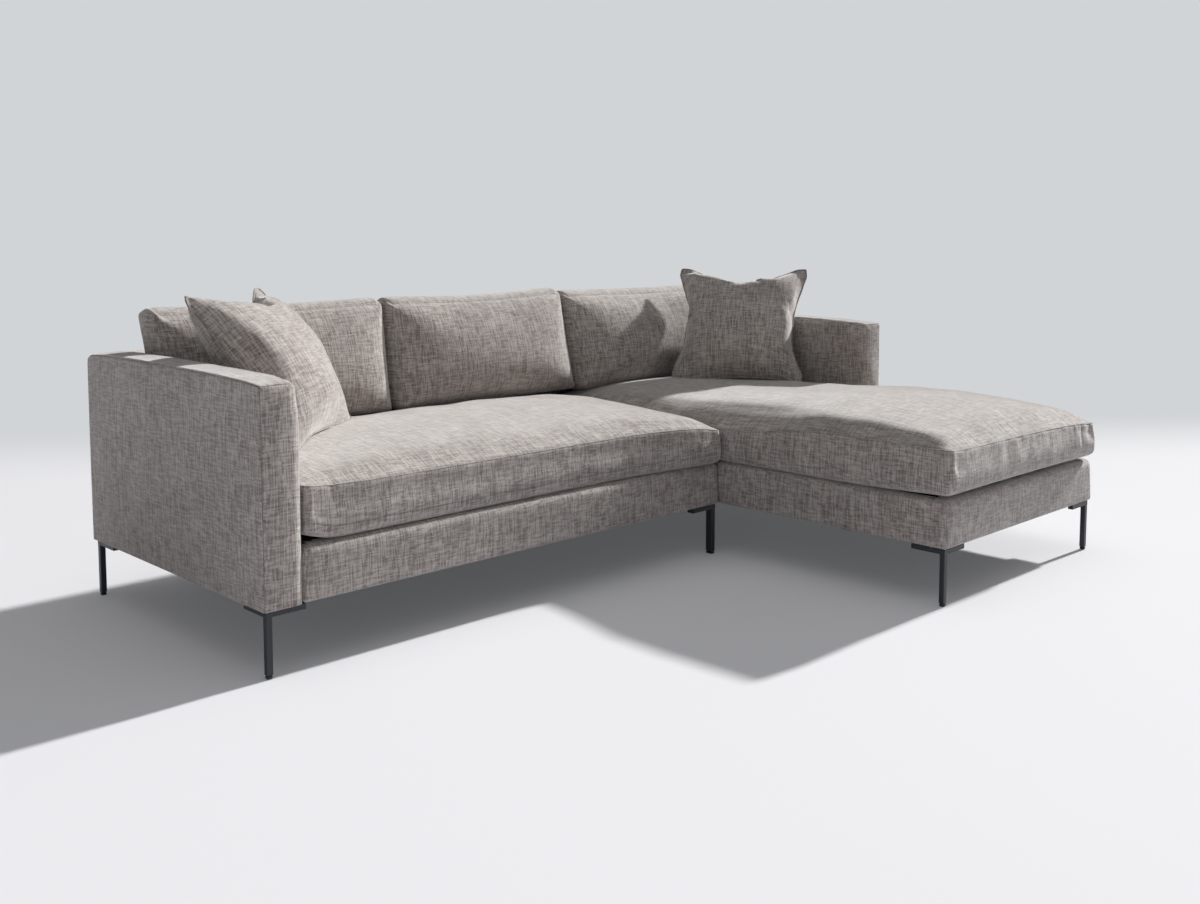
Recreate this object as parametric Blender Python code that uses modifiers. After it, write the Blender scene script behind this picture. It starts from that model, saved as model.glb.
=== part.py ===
"""Corner sofa: a two-seat section with a left arm, and a chaise section with a right arm.

The origin is on the floor below the middle of the plan. +X runs to the right arm and +Y to the back.
Each section is an upholstered wooden frame on metal legs. The seat cushions, back cushions and throw
pillows lie loose on it, and two hooks under the rails hold the sections together.
"""

import math

import bmesh
import bpy
from mathutils import Matrix, Vector
from mathutils.bvhtree import BVHTree

# Plan and heights of the whole sofa, in metres
OVERALL_WIDTH = 2.38
SECTION_DEPTH = 0.905
CHAISE_LENGTH = 1.67
CHAISE_WIDTH = 0.854
ARM_WIDTH = 0.10
ARM_HEIGHT = 0.66
BACK_THICKNESS = 0.10
FLOOR_CLEARANCE = 0.154
BASE_HEIGHT = 0.129

# Gaps between pieces
FIT_GAP = 0.0003
CUT_OVERRUN = 0.005

# Padded covers stretched over the frames
COVER_THICKNESS = 0.006
COVER_LIP = 0.030
FRAME_ROUNDING = 0.009
ROUNDING_STEPS = 3

# Wooden frames
RAIL_THICKNESS = 0.042
STRETCHER_THICKNESS = 0.032
STRETCHER_DROP = 0.040
STILE_WIDTH = 0.060
WEB_THICKNESS = 0.012
BOARD_EDGE = 0.002

# Seat platform: webbing under a deck cloth, and the cloth that closes the underside
STRAP_WIDTH = 0.060
STRAP_SPACING = 0.150
STRAP_THICKNESS = 0.002
DUST_COVER_THICKNESS = 0.001
DUST_COVER_INSET = 0.020

# Legs
LEG_WIDTH = 0.015
LEG_SETBACK = 0.0085
MIDDLE_LEG_WIDTH = 0.016
MIDDLE_LEG_DEPTH = 0.024
BRACKET_REACH = 0.108
BRACKET_HEIGHT = 0.013
PLATE_THICKNESS = 0.003
PLATE_REACH = 0.075
SCREW_HOLE_RADIUS = 0.003
SCREW_HOLE_SIDES = 8
SCREW_HOLE_SHARES = ((0.15, 0.15), (0.68, 0.12), (0.12, 0.68))
LEG_EDGE = 0.0015
GLIDE_HEIGHT = 0.008
GLIDE_ROUNDING = 0.004

# Hooks that join the sections
HOOK_THICKNESS = 0.0025
HOOK_WIDTH = 0.040
HOOK_REACH = 0.060
KEEPER_FLANGE = 0.018
HOOK_INSET = 0.180

# Loose seat cushions
SEAT_BORDER = 0.125
SEAT_CROWN = 0.052
SEAT_CROWN_REACH = 0.230
SEAT_DRAW_IN = 0.008
SEAT_BULGE = 0.006
SEAT_OVERHANG = 0.016
CUSHION_SPLIT = 0.010
CUSHION_GAP = 0.002
CUSHION_EDGE_CELL = 0.042
SEAM_CREASE = 0.55

# Loose back cushions
BACK_CUSHION_HEIGHT = 0.337
BACK_BORDER = 0.165
BACK_TAPER = 0.055
BACK_CROWN = 0.036
BACK_CROWN_REACH = 0.170
BACK_DRAW_IN = 0.010
BACK_BULGE = 0.008
BENCH_SPLIT = 0.720
JOINT_LAP = 0.028

# Throw pillows
PILLOW_SIZE = 0.455
PILLOW_FRONT_CROWN = 0.103
PILLOW_BACK_CROWN = 0.086
PILLOW_EDGE_THICKNESS = 0.007
PILLOW_DRAW_IN = 0.024
PILLOW_DIP = 0.046
PILLOW_CELLS = 6
PILLOW_FALL_SHARE = 0.55

# Where a pillow's middle stands: in from the arm's inner face, and forward of the back's face
LEFT_PILLOW_FROM_ARM = 0.212
LEFT_PILLOW_FROM_BACK = 0.315
LEFT_PILLOW_YAW = 37
LEFT_PILLOW_TILT = 36
CHAISE_PILLOW_FROM_ARM = 0.162
CHAISE_PILLOW_FROM_BACK = 0.393
CHAISE_PILLOW_YAW = -55.5
CHAISE_PILLOW_TILT = 34
PILLOW_LEAN = 0.040

# How loose pieces are let down onto what carries them
LIFT = 0.080
SLIDE_STEP = 0.004
HALVINGS = 9

# Places that follow from the sizes above
X_LEFT = -OVERALL_WIDTH / 2
X_RIGHT = OVERALL_WIDTH / 2
X_SEAT_LEFT = X_LEFT + ARM_WIDTH
X_SEAT_RIGHT = X_RIGHT - ARM_WIDTH
X_JOINT = X_RIGHT - CHAISE_WIDTH
Y_REAR = (CHAISE_LENGTH + SEAT_OVERHANG) / 2
Y_FRONT = Y_REAR - SECTION_DEPTH
Y_CHAISE = Y_REAR - CHAISE_LENGTH
Y_BACK_FACE = Y_REAR - BACK_THICKNESS
Z_BASE = FLOOR_CLEARANCE
Z_SEAT = FLOOR_CLEARANCE + BASE_HEIGHT
Z_RAIL_TOP = Z_SEAT - COVER_THICKNESS - FIT_GAP
Z_UNDERSIDE = Z_BASE - 2 * FIT_GAP - DUST_COVER_THICKNESS
SKIN = COVER_THICKNESS + FIT_GAP
RAIL_REACH = SKIN + RAIL_THICKNESS


def clear_scene():
    """Removes every object, so that the model starts from an empty scene."""
    for obj in list(bpy.data.objects):
        bpy.data.objects.remove(obj, do_unlink=True)


def new_collection(name):
    collection = bpy.data.collections.new(name)
    bpy.context.scene.collection.children.link(collection)
    return collection


def new_material(name, colour, roughness, metallic=0.0):
    material = bpy.data.materials.new(name)
    material.use_nodes = True
    shader = material.node_tree.nodes["Principled BSDF"]
    shader.inputs["Base Color"].default_value = (*colour, 1)
    shader.inputs["Roughness"].default_value = roughness
    shader.inputs["Metallic"].default_value = metallic
    return material


def keep(obj, name, material):
    """Names an object, gives it its own copy of a material and puts it with the sofa's pieces."""
    obj.name = name
    obj.data.name = name
    own = material.copy()
    own.name = name + "_finish"
    obj.data.materials.clear()
    obj.data.materials.append(own)
    for collection in list(obj.users_collection):
        collection.objects.unlink(obj)
    PIECES.objects.link(obj)
    return obj


def keep_as_cutter(obj, name):
    """Puts a helper shape with the cutters, where it isn't rendered."""
    obj.name = name
    obj.hide_render = True
    obj.display_type = "WIRE"
    for collection in list(obj.users_collection):
        collection.objects.unlink(obj)
    CUTTERS.objects.link(obj)
    return obj


def cube(low, high):
    """A box between two corners, with its scale applied."""
    low, high = Vector(low), Vector(high)
    bpy.ops.mesh.primitive_cube_add(size=1, location=(low + high) / 2)
    obj = bpy.context.object
    obj.scale = high - low
    bpy.ops.object.transform_apply(location=False, rotation=False, scale=True)
    return obj


def add_bevel(obj, width, steps=1):
    bevel = obj.modifiers.new("edges", "BEVEL")
    bevel.width = width
    bevel.segments = steps
    bevel.limit_method = "ANGLE"


def board(name, low, high, material, edge=BOARD_EDGE):
    """A sawn board, or a cut sheet, with its edges eased."""
    obj = keep(cube(low, high), name, material)
    if edge:
        add_bevel(obj, edge)
    return obj


def cut_or_join(obj, other, operation):
    boolean = obj.modifiers.new(other.name, "BOOLEAN")
    boolean.operation = operation
    boolean.object = other


def mesh_from_outline(name, outlines, thickness, turn=Matrix.Identity(4)):
    """A flat plate cut to closed outlines: the first is its edge and the others are its holes."""
    curve = bpy.data.curves.new(name, "CURVE")
    curve.dimensions = "2D"
    curve.fill_mode = "BOTH"
    curve.extrude = thickness / 2
    for outline in outlines:
        spline = curve.splines.new("POLY")
        spline.points.add(len(outline) - 1)
        for point, (x, y) in zip(spline.points, outline):
            point.co = (x, y, 0, 1)
        spline.use_cyclic_u = True
    drawn = bpy.data.objects.new(name, curve)
    bpy.context.scene.collection.objects.link(drawn)
    drawn.matrix_world = turn
    bpy.context.view_layer.update()
    evaluated = drawn.evaluated_get(bpy.context.evaluated_depsgraph_get())
    mesh = bpy.data.meshes.new_from_object(evaluated)
    welded = bmesh.new()
    welded.from_mesh(mesh)
    bmesh.ops.remove_doubles(welded, verts=welded.verts, dist=FIT_GAP / 10)
    bmesh.ops.recalc_face_normals(welded, faces=welded.faces)
    welded.to_mesh(mesh)
    welded.free()
    plate = bpy.data.objects.new(name, mesh)
    plate.matrix_world = turn
    bpy.context.scene.collection.objects.link(plate)
    bpy.data.objects.remove(drawn, do_unlink=True)
    return plate


def rectangle(low_x, low_y, high_x, high_y):
    return [(low_x, low_y), (high_x, low_y), (high_x, high_y), (low_x, high_y)]


def padded_cover(name, low, high, open_side):
    """A padded cover pulled over a frame: a rounded box whose open side is left out, made into a wall."""
    obj = keep(cube(low, high), name, FABRIC)
    shape = bmesh.new()
    shape.from_mesh(obj.data)
    way = Vector(open_side)
    left_out = [face for face in shape.faces if face.normal.dot(way) > math.cos(math.radians(45))]
    bmesh.ops.delete(shape, geom=left_out, context="FACES")
    shape.to_mesh(obj.data)
    shape.free()
    add_bevel(obj, COVER_THICKNESS + FRAME_ROUNDING, ROUNDING_STEPS)
    wall = obj.modifiers.new("padding", "SOLIDIFY")
    wall.thickness = COVER_THICKNESS
    wall.offset = -1
    wall.use_even_offset = True
    obj.data.shade_smooth()
    obj.data.set_sharp_from_angle(angle=math.radians(40))
    return obj


def panel_frame(name, low, high, thin, bays):
    """A frame of boards round a thin web: a slab with pockets cut from both of its broad faces."""
    obj = board(name, low, high, WOOD, edge=FRAME_ROUNDING)
    long_way = 1 if thin == 0 else 0
    depth = (high[thin] - low[thin] - WEB_THICKNESS) / 2
    pitch = (high[long_way] - low[long_way] - STILE_WIDTH) / bays
    for bay in range(bays):
        for side, sign in (("left", -1), ("right", 1)):
            start = list(low)
            end = list(high)
            start[long_way] = low[long_way] + STILE_WIDTH + bay * pitch
            end[long_way] = start[long_way] + pitch - STILE_WIDTH
            start[2] = low[2] + STILE_WIDTH
            end[2] = high[2] - STILE_WIDTH
            if sign < 0:
                start[thin] = low[thin] - CUT_OVERRUN
                end[thin] = low[thin] + depth
            else:
                start[thin] = high[thin] - depth
                end[thin] = high[thin] + CUT_OVERRUN
            pocket = keep_as_cutter(cube(start, end), f"{name}_pocket_{side}_{bay + 1}")
            cut_or_join(obj, pocket, "DIFFERENCE")
    return obj


def straps_between(start, end):
    """Places of the straps of webbing across a span, as pairs of edges, evenly spread."""
    count = max(2, round((end - start) / STRAP_SPACING))
    pitch = (end - start - STRAP_WIDTH) / (count - 1)
    return [(start + i * pitch, start + i * pitch + STRAP_WIDTH) for i in range(count)]


def webbing(name, low_x, low_y, high_x, high_y):
    """Straps of webbing laid both ways and stitched where they cross, as one net."""
    across = straps_between(low_x, high_x)
    along = straps_between(low_y, high_y)
    outlines = [rectangle(low_x, low_y, high_x, high_y)]
    for left, right in zip(across, across[1:]):
        for front, back in zip(along, along[1:]):
            outlines.append(rectangle(left[1], front[1], right[0], back[0]))
    height = Z_RAIL_TOP + FIT_GAP + STRAP_THICKNESS / 2
    net = mesh_from_outline(name, outlines, STRAP_THICKNESS, Matrix.Translation((0, 0, height)))
    return keep(net, name, WEBBING)


def leg(name, corner_x, corner_y, way_x, way_y, width, depth):
    """A bar leg in the corner of a right-angled bracket, with a plate screwed under the frame.

    The corner is the section's own, and way_x and way_y point from it towards the section's middle."""
    middle_x = corner_x + way_x * (LEG_SETBACK + width / 2)
    middle_y = corner_y + way_y * (LEG_SETBACK + depth / 2)
    half = Vector((width / 2, depth / 2, 0))
    foot = Vector((middle_x, middle_y, GLIDE_HEIGHT + FIT_GAP))
    top = Vector((middle_x, middle_y, Z_UNDERSIDE - PLATE_THICKNESS / 2))
    obj = keep(cube(foot - half, top + half), name, LEG_METAL)
    add_bevel(obj, LEG_EDGE)
    outer_x, outer_y = corner_x + way_x * LEG_SETBACK, corner_y + way_y * LEG_SETBACK
    arm_x, arm_y = corner_x + way_x * BRACKET_REACH, corner_y + way_y * BRACKET_REACH
    inner_x, inner_y = outer_x + way_x * width, outer_y + way_y * depth
    angle_outline = [
        (outer_x, outer_y), (arm_x, outer_y), (arm_x, inner_y),
        (inner_x, inner_y), (inner_x, arm_y), (outer_x, arm_y),
    ]
    bracket_middle = Matrix.Translation((0, 0, Z_UNDERSIDE - BRACKET_HEIGHT / 2))
    bracket = mesh_from_outline(name + "_bracket", [angle_outline], BRACKET_HEIGHT, bracket_middle)
    cut_or_join(obj, keep_as_cutter(bracket, name + "_bracket"), "UNION")
    plate_x, plate_y = outer_x + way_x * PLATE_REACH, outer_y + way_y * PLATE_REACH
    inset_x, inset_y = outer_x + way_x * width / 2, outer_y + way_y * depth / 2
    gusset = [
        (inset_x, inset_y), (plate_x, inset_y), (plate_x, inner_y),
        (inner_x, plate_y), (inset_x, plate_y),
    ]
    holes = []
    for share_x, share_y in SCREW_HOLE_SHARES:
        hole_x = inner_x + way_x * (PLATE_REACH - width) * share_x
        hole_y = inner_y + way_y * (PLATE_REACH - depth) * share_y
        turns = [2 * math.pi * i / SCREW_HOLE_SIDES for i in range(SCREW_HOLE_SIDES)]
        ring = [(math.cos(turn), math.sin(turn)) for turn in turns]
        radius = SCREW_HOLE_RADIUS
        holes.append([(hole_x + radius * across, hole_y + radius * up) for across, up in ring])
    plate_middle = Matrix.Translation((0, 0, Z_UNDERSIDE - PLATE_THICKNESS / 2))
    plate = mesh_from_outline(name + "_plate", [gusset] + holes, PLATE_THICKNESS, plate_middle)
    cut_or_join(obj, keep_as_cutter(plate, name + "_plate"), "UNION")
    floor_point = Vector((middle_x, middle_y, 0))
    glide_top = Vector((middle_x, middle_y, GLIDE_HEIGHT))
    glide_name = name.replace("_leg", "_glide")
    glide = keep(cube(floor_point - half, glide_top + half), glide_name, GLIDE_PLASTIC)
    add_bevel(glide, GLIDE_ROUNDING, 2)
    return obj


def hook_pair(number, middle_y):
    """A flat tongue under the two-seat section that slides into a keeper under the chaise."""
    top = Z_UNDERSIDE
    low = (X_JOINT - HOOK_REACH, middle_y - HOOK_WIDTH / 2, top - HOOK_THICKNESS)
    high = (X_JOINT + HOOK_REACH, middle_y + HOOK_WIDTH / 2, top)
    board(f"joining_tongue_{number}", low, high, ZINC, edge=0)
    inner = HOOK_WIDTH / 2 + FIT_GAP
    outer = inner + HOOK_THICKNESS
    flange = outer + KEEPER_FLANGE
    bridge = HOOK_THICKNESS + FIT_GAP
    drop = bridge + HOOK_THICKNESS
    right_half = [
        (inner, -bridge), (inner, 0), (flange, 0),
        (flange, -HOOK_THICKNESS), (outer, -HOOK_THICKNESS), (outer, -drop),
    ]
    outline = right_half + [(-x, z) for x, z in reversed(right_half)]
    length = HOOK_REACH - HOOK_THICKNESS
    along_x = Matrix.Rotation(math.radians(90), 4, "Z") @ Matrix.Rotation(math.radians(90), 4, "X")
    middle_x = X_JOINT + HOOK_THICKNESS + length / 2
    turn = Matrix.Translation((middle_x, middle_y, top)) @ along_x
    keeper = mesh_from_outline(f"joining_keeper_{number}", [outline], length, turn)
    keep(keeper, f"joining_keeper_{number}", ZINC)


def spread(start, end, cells):
    """Lines of a cushion's cage: narrow cells at both ends and equal ones between them."""
    inner_start, inner_end = start + CUSHION_EDGE_CELL, end - CUSHION_EDGE_CELL
    inner = [inner_start + (inner_end - inner_start) * i / cells for i in range(cells + 1)]
    return [start] + inner + [end]


def nearest_side(point, outline):
    """Distance to the closest side of an outline, that side's inward normal, and the share along it."""
    found = []
    for start, end in zip(outline, outline[1:] + outline[:1]):
        side = end - start
        share = min(max((point - start).dot(side) / side.length_squared, 0), 1)
        inward = Vector((-side.y, side.x)).normalized()
        found.append(((point - start - side * share).length, inward, share))
    return min(found, key=lambda entry: entry[0])


def boxed_cushion(name, lines_x, lines_y, border, crown, reach, draw_in, bulge, taper=0.0, notch=None):
    """A boxed cushion that lies flat with its seams round the top and the bottom of a border.

    Its cage is a sheet over the crossing lines, raised in layers. The top face rises from the seam by the
    crown, as a quarter sine of the distance from the edge. The border is drawn in at the middle of each
    side, less so halfway up, where the filling pushes it out. taper thins the border towards +Y, and the
    cells past the notch, a corner at +X and +Y, are left out and its inner corner stays sharp."""
    layers = 3
    shape = bmesh.new()
    columns, rows = len(lines_x) - 1, len(lines_y) - 1
    bmesh.ops.create_grid(shape, x_segments=columns, y_segments=rows, size=1)
    for vertex in shape.verts:
        column = round((vertex.co.x + 1) / 2 * columns)
        row = round((vertex.co.y + 1) / 2 * rows)
        vertex.co = (lines_x[column], lines_y[row], 0)
    low_x, high_x, low_y, high_y = lines_x[0], lines_x[-1], lines_y[0], lines_y[-1]
    outline = [(low_x, low_y), (high_x, low_y), (high_x, high_y), (low_x, high_y)]
    if notch:
        outline[2:3] = [(high_x, notch[1]), notch, (notch[0], high_y)]
        middles = [(face, face.calc_center_median()) for face in shape.faces]
        past = [face for face, middle in middles if middle.x > notch[0] and middle.y > notch[1]]
        bmesh.ops.delete(shape, geom=past, context="FACES")
    outline = [Vector(point) for point in outline]
    sheet = list(shape.faces)
    for layer in range(layers):
        raised = bmesh.ops.extrude_face_region(shape, geom=sheet)["geom"]
        if layer:
            bmesh.ops.delete(shape, geom=sheet, context="FACES_ONLY")
        sheet = [item for item in raised if isinstance(item, bmesh.types.BMFace)]
        for vertex in {v for face in sheet for v in face.verts}:
            vertex.co.z = layer + 1
    crease = shape.edges.layers.float.new("crease_edge")
    for edge in shape.edges:
        first, second = edge.verts
        at_seam = first.co.z == second.co.z and first.co.z in (0, layers)
        middle = Vector(((first.co.x + second.co.x) / 2, (first.co.y + second.co.y) / 2))
        if at_seam and nearest_side(middle, outline)[0] < FIT_GAP:
            edge[crease] = SEAM_CREASE
        if notch and any((vertex.co.xy - Vector(notch)).length < FIT_GAP for vertex in edge.verts):
            edge[crease] = 1
    for vertex in shape.verts:
        level = vertex.co.z / layers
        place = Vector((vertex.co.x, vertex.co.y))
        distance, inward, share = nearest_side(place, outline)
        up_share = (place.y - low_y) / (high_y - low_y)
        swell = math.sin(math.pi / 2 * min(distance / reach, 1))
        if distance < FIT_GAP:
            place += inward * math.sin(math.pi * share) * (draw_in - bulge * math.sin(math.pi * level))
        height = level * (border - taper * up_share) + (crown * swell if level == 1 else 0)
        vertex.co = (*place, height)
    bmesh.ops.recalc_face_normals(shape, faces=shape.faces)
    mesh = bpy.data.meshes.new(name)
    shape.to_mesh(mesh)
    shape.free()
    obj = bpy.data.objects.new(name, mesh)
    keep(obj, name, FABRIC)
    smooth = obj.modifiers.new("stuffing", "SUBSURF")
    smooth.levels = 1
    smooth.render_levels = 1
    mesh.shade_smooth()
    return obj


def throw_pillow(name, place, yaw, tilt):
    """A pillow with a piped edge: a crowned front, and a copy of it, pressed flatter, as its back.

    Each crown is the product of two round falls to the edge. The sides are drawn in between the
    corners, most at the top, which is pressed into a dip. yaw turns the way it faces from -Y, and tilt
    leans it back."""
    shape = bmesh.new()
    half = PILLOW_SIZE / 2
    bmesh.ops.create_grid(shape, x_segments=PILLOW_CELLS, y_segments=PILLOW_CELLS, size=1)
    for vertex in shape.verts:
        u, v = vertex.co.x, vertex.co.y
        fall = ((1 - u * u) * (1 - v * v)) ** PILLOW_FALL_SHARE
        x = u * (half - PILLOW_DRAW_IN * (1 - v * v) * u * u)
        draw_in = PILLOW_DIP if v > 0 else PILLOW_DRAW_IN
        y = v * (half - draw_in * (1 - u * u) * v * v)
        vertex.co = (x, y, PILLOW_EDGE_THICKNESS / 2 + PILLOW_FRONT_CROWN * fall)
    point_crease = shape.verts.layers.float.new("crease_vert")
    for vertex in shape.verts:
        vertex[point_crease] = len(vertex.link_faces) == 1
    border = [edge for edge in shape.edges if edge.is_boundary]
    piping = bmesh.ops.extrude_edge_only(shape, edges=border)["geom"]
    for item in piping:
        if isinstance(item, bmesh.types.BMVert):
            item.co.z = 0
    flatter = PILLOW_BACK_CROWN / PILLOW_FRONT_CROWN
    front = [*shape.verts, *shape.edges, *shape.faces]
    for item in bmesh.ops.duplicate(shape, geom=front)["geom"]:
        if isinstance(item, bmesh.types.BMVert):
            rise = max(item.co.z - PILLOW_EDGE_THICKNESS / 2, 0)
            item.co.z = rise * (1 - flatter) - item.co.z
    bmesh.ops.remove_doubles(shape, verts=shape.verts, dist=FIT_GAP / 10)
    bmesh.ops.recalc_face_normals(shape, faces=shape.faces)
    mesh = bpy.data.meshes.new(name)
    shape.to_mesh(mesh)
    shape.free()
    obj = bpy.data.objects.new(name, mesh)
    keep(obj, name, FABRIC)
    smooth = obj.modifiers.new("stuffing", "SUBSURF")
    smooth.levels = 1
    smooth.render_levels = 1
    mesh.shade_smooth()
    turn = Matrix.Rotation(math.radians(yaw), 4, "Z") @ Matrix.Rotation(math.radians(90 - tilt), 4, "X")
    obj.matrix_world = Matrix.Translation(place) @ turn
    return obj


def faces_in_world(obj):
    """Points and triangles of an object as its modifiers leave it."""
    bpy.context.view_layer.update()
    evaluated = obj.evaluated_get(bpy.context.evaluated_depsgraph_get())
    mesh = evaluated.to_mesh()
    mesh.calc_loop_triangles()
    points = [obj.matrix_world @ vertex.co for vertex in mesh.vertices]
    faces = [tuple(triangle.vertices) for triangle in mesh.loop_triangles]
    evaluated.to_mesh_clear()
    return points, faces


def slide_until_touching(obj, others, way, reach):
    """Moves a piece along a direction until it meets one of the others, and leaves the fit gap."""
    points, faces = faces_in_world(obj)
    trees = [BVHTree.FromPolygons(*faces_in_world(other)) for other in others]
    way = Vector(way).normalized()

    def meets(distance):
        moved = BVHTree.FromPolygons([point + way * distance for point in points], faces)
        return any(moved.overlap(tree) for tree in trees)

    clear, step = 0.0, SLIDE_STEP
    while clear + step < reach and not meets(clear + step):
        clear += step
    for _ in range(HALVINGS):
        step /= 2
        if not meets(clear + step):
            clear += step
    obj.location += way * (clear - FIT_GAP)
    bpy.context.view_layer.update()


def stand_up(obj, place):
    """Stands a cushion that was made lying flat: its top face turns to the front and its +Y side up."""
    obj.matrix_world = Matrix.Translation(place) @ Matrix.Rotation(math.radians(90), 4, "X")


clear_scene()
PIECES = new_collection("corner_sofa")
CUTTERS = new_collection("cutters")
FABRIC = new_material("linen_look_fabric", (0.27, 0.24, 0.22), 0.95)
WOOD = new_material("sawn_pine", (0.55, 0.40, 0.24), 0.75)
WEBBING = new_material("woven_webbing", (0.30, 0.22, 0.14), 0.9)
CLOTH = new_material("black_spunbond", (0.02, 0.02, 0.02), 0.95)
LEG_METAL = new_material("dark_powder_coat", (0.016, 0.018, 0.022), 0.45, 0.0)
GLIDE_PLASTIC = new_material("black_nylon", (0.012, 0.012, 0.013), 0.5)
ZINC = new_material("zinc_plated_steel", (0.6, 0.6, 0.58), 0.35, 1.0)


def arm(prefix, outer_x, way):
    """An arm: a frame panel from the underside to the arm's top, in a cover open at the bottom."""
    edges = sorted((outer_x, outer_x + way * ARM_WIDTH))
    low, high = (edges[0], Y_FRONT, Z_BASE), (edges[1], Y_REAR, ARM_HEIGHT)
    padded_cover(prefix + "_arm_cover", low, high, (0, 0, -1))
    low = (edges[0] + SKIN, Y_FRONT + SKIN, Z_BASE)
    high = (edges[1] - SKIN, Y_REAR - SKIN, ARM_HEIGHT - SKIN)
    panel_frame(prefix + "_arm_frame", low, high, thin=0, bays=2)


def back(prefix, low_x, high_x, bays):
    """A back: a frame panel as high as the arms, in a cover open at the bottom."""
    low_x, high_x = low_x + FIT_GAP, high_x - FIT_GAP
    low, high = (low_x, Y_BACK_FACE, Z_BASE), (high_x, Y_REAR, ARM_HEIGHT)
    padded_cover(prefix + "_back_cover", low, high, (0, 0, -1))
    low = (low_x + SKIN, Y_BACK_FACE + SKIN, Z_BASE)
    high = (high_x - SKIN, Y_REAR - SKIN, ARM_HEIGHT - SKIN)
    panel_frame(prefix + "_back_frame", low, high, thin=1, bays=bays)


def covered_rail(name, low, high, inward, rail_name):
    """A base rail: a board in a padded cover that wraps its outer side, its top edge and its underside.

    low and high are the corners of the cover, inward points to the open side, where the board shows."""
    padded_cover(name, low, high, inward)
    low, high = Vector(low), Vector(high)
    axis = 0 if inward[0] else 1
    start, end = low + Vector((SKIN, SKIN, SKIN)), high - Vector((SKIN, SKIN, SKIN))
    if inward[axis] > 0:
        end[axis] = start[axis] + RAIL_THICKNESS
    else:
        start[axis] = end[axis] - RAIL_THICKNESS
    board(rail_name, start, end, WOOD, edge=FRAME_ROUNDING)


def two_seat_base():
    """Rails, stretcher, seat platform and underside of the two-seat section."""
    low_x, high_x = X_SEAT_LEFT + FIT_GAP, X_JOINT - FIT_GAP
    rear = Y_BACK_FACE - FIT_GAP
    front_low, front_high = (low_x, Y_FRONT, Z_BASE), (high_x, Y_FRONT + COVER_LIP, Z_SEAT)
    covered_rail("sofa_front_rail_cover", front_low, front_high, (0, 1, 0), "sofa_front_rail")
    behind_front = Y_FRONT + RAIL_REACH + FIT_GAP
    end_low, end_high = (high_x - COVER_LIP, behind_front, Z_BASE), (high_x, rear, Z_SEAT)
    covered_rail("sofa_end_rail_cover", end_low, end_high, (-1, 0, 0), "sofa_end_rail")
    inner_right = high_x - RAIL_REACH - FIT_GAP
    back_low, back_high = (low_x, rear - RAIL_THICKNESS, Z_BASE), (inner_right, rear, Z_RAIL_TOP)
    board("sofa_back_rail", back_low, back_high, WOOD)
    before_back = rear - RAIL_THICKNESS - FIT_GAP
    side_low = (low_x, behind_front, Z_BASE)
    side_high = (low_x + RAIL_THICKNESS, before_back, Z_RAIL_TOP)
    board("sofa_side_rail", side_low, side_high, WOOD)
    middle = (low_x + high_x) / 2
    low = (middle - STRETCHER_THICKNESS / 2, behind_front, Z_BASE)
    high = (middle + STRETCHER_THICKNESS / 2, before_back, Z_RAIL_TOP - STRETCHER_DROP)
    board("sofa_stretcher", low, high, WOOD)
    platform("sofa", low_x, Y_FRONT + COVER_LIP + FIT_GAP, high_x - COVER_LIP - FIT_GAP, rear)
    dust_cover("sofa", X_LEFT, Y_FRONT, X_JOINT, Y_REAR)


def platform(prefix, low_x, low_y, high_x, high_y):
    """Webbing stapled to the rails and the deck cloth over it, level with the covers' lips."""
    webbing(prefix + "_seat_webbing", low_x, low_y, high_x, high_y)
    bottom = Z_RAIL_TOP + STRAP_THICKNESS + 2 * FIT_GAP
    board(prefix + "_seat_deck", (low_x, low_y, bottom), (high_x, high_y, Z_SEAT), CLOTH, edge=0)


def dust_cover(prefix, low_x, low_y, high_x, high_y):
    """The thin cloth that closes the underside of a section."""
    inset = DUST_COVER_INSET
    low = (low_x + inset, low_y + inset, Z_BASE - FIT_GAP - DUST_COVER_THICKNESS)
    high = (high_x - inset, high_y - inset, Z_BASE - FIT_GAP)
    board(prefix + "_dust_cover", low, high, CLOTH, edge=0)


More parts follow.
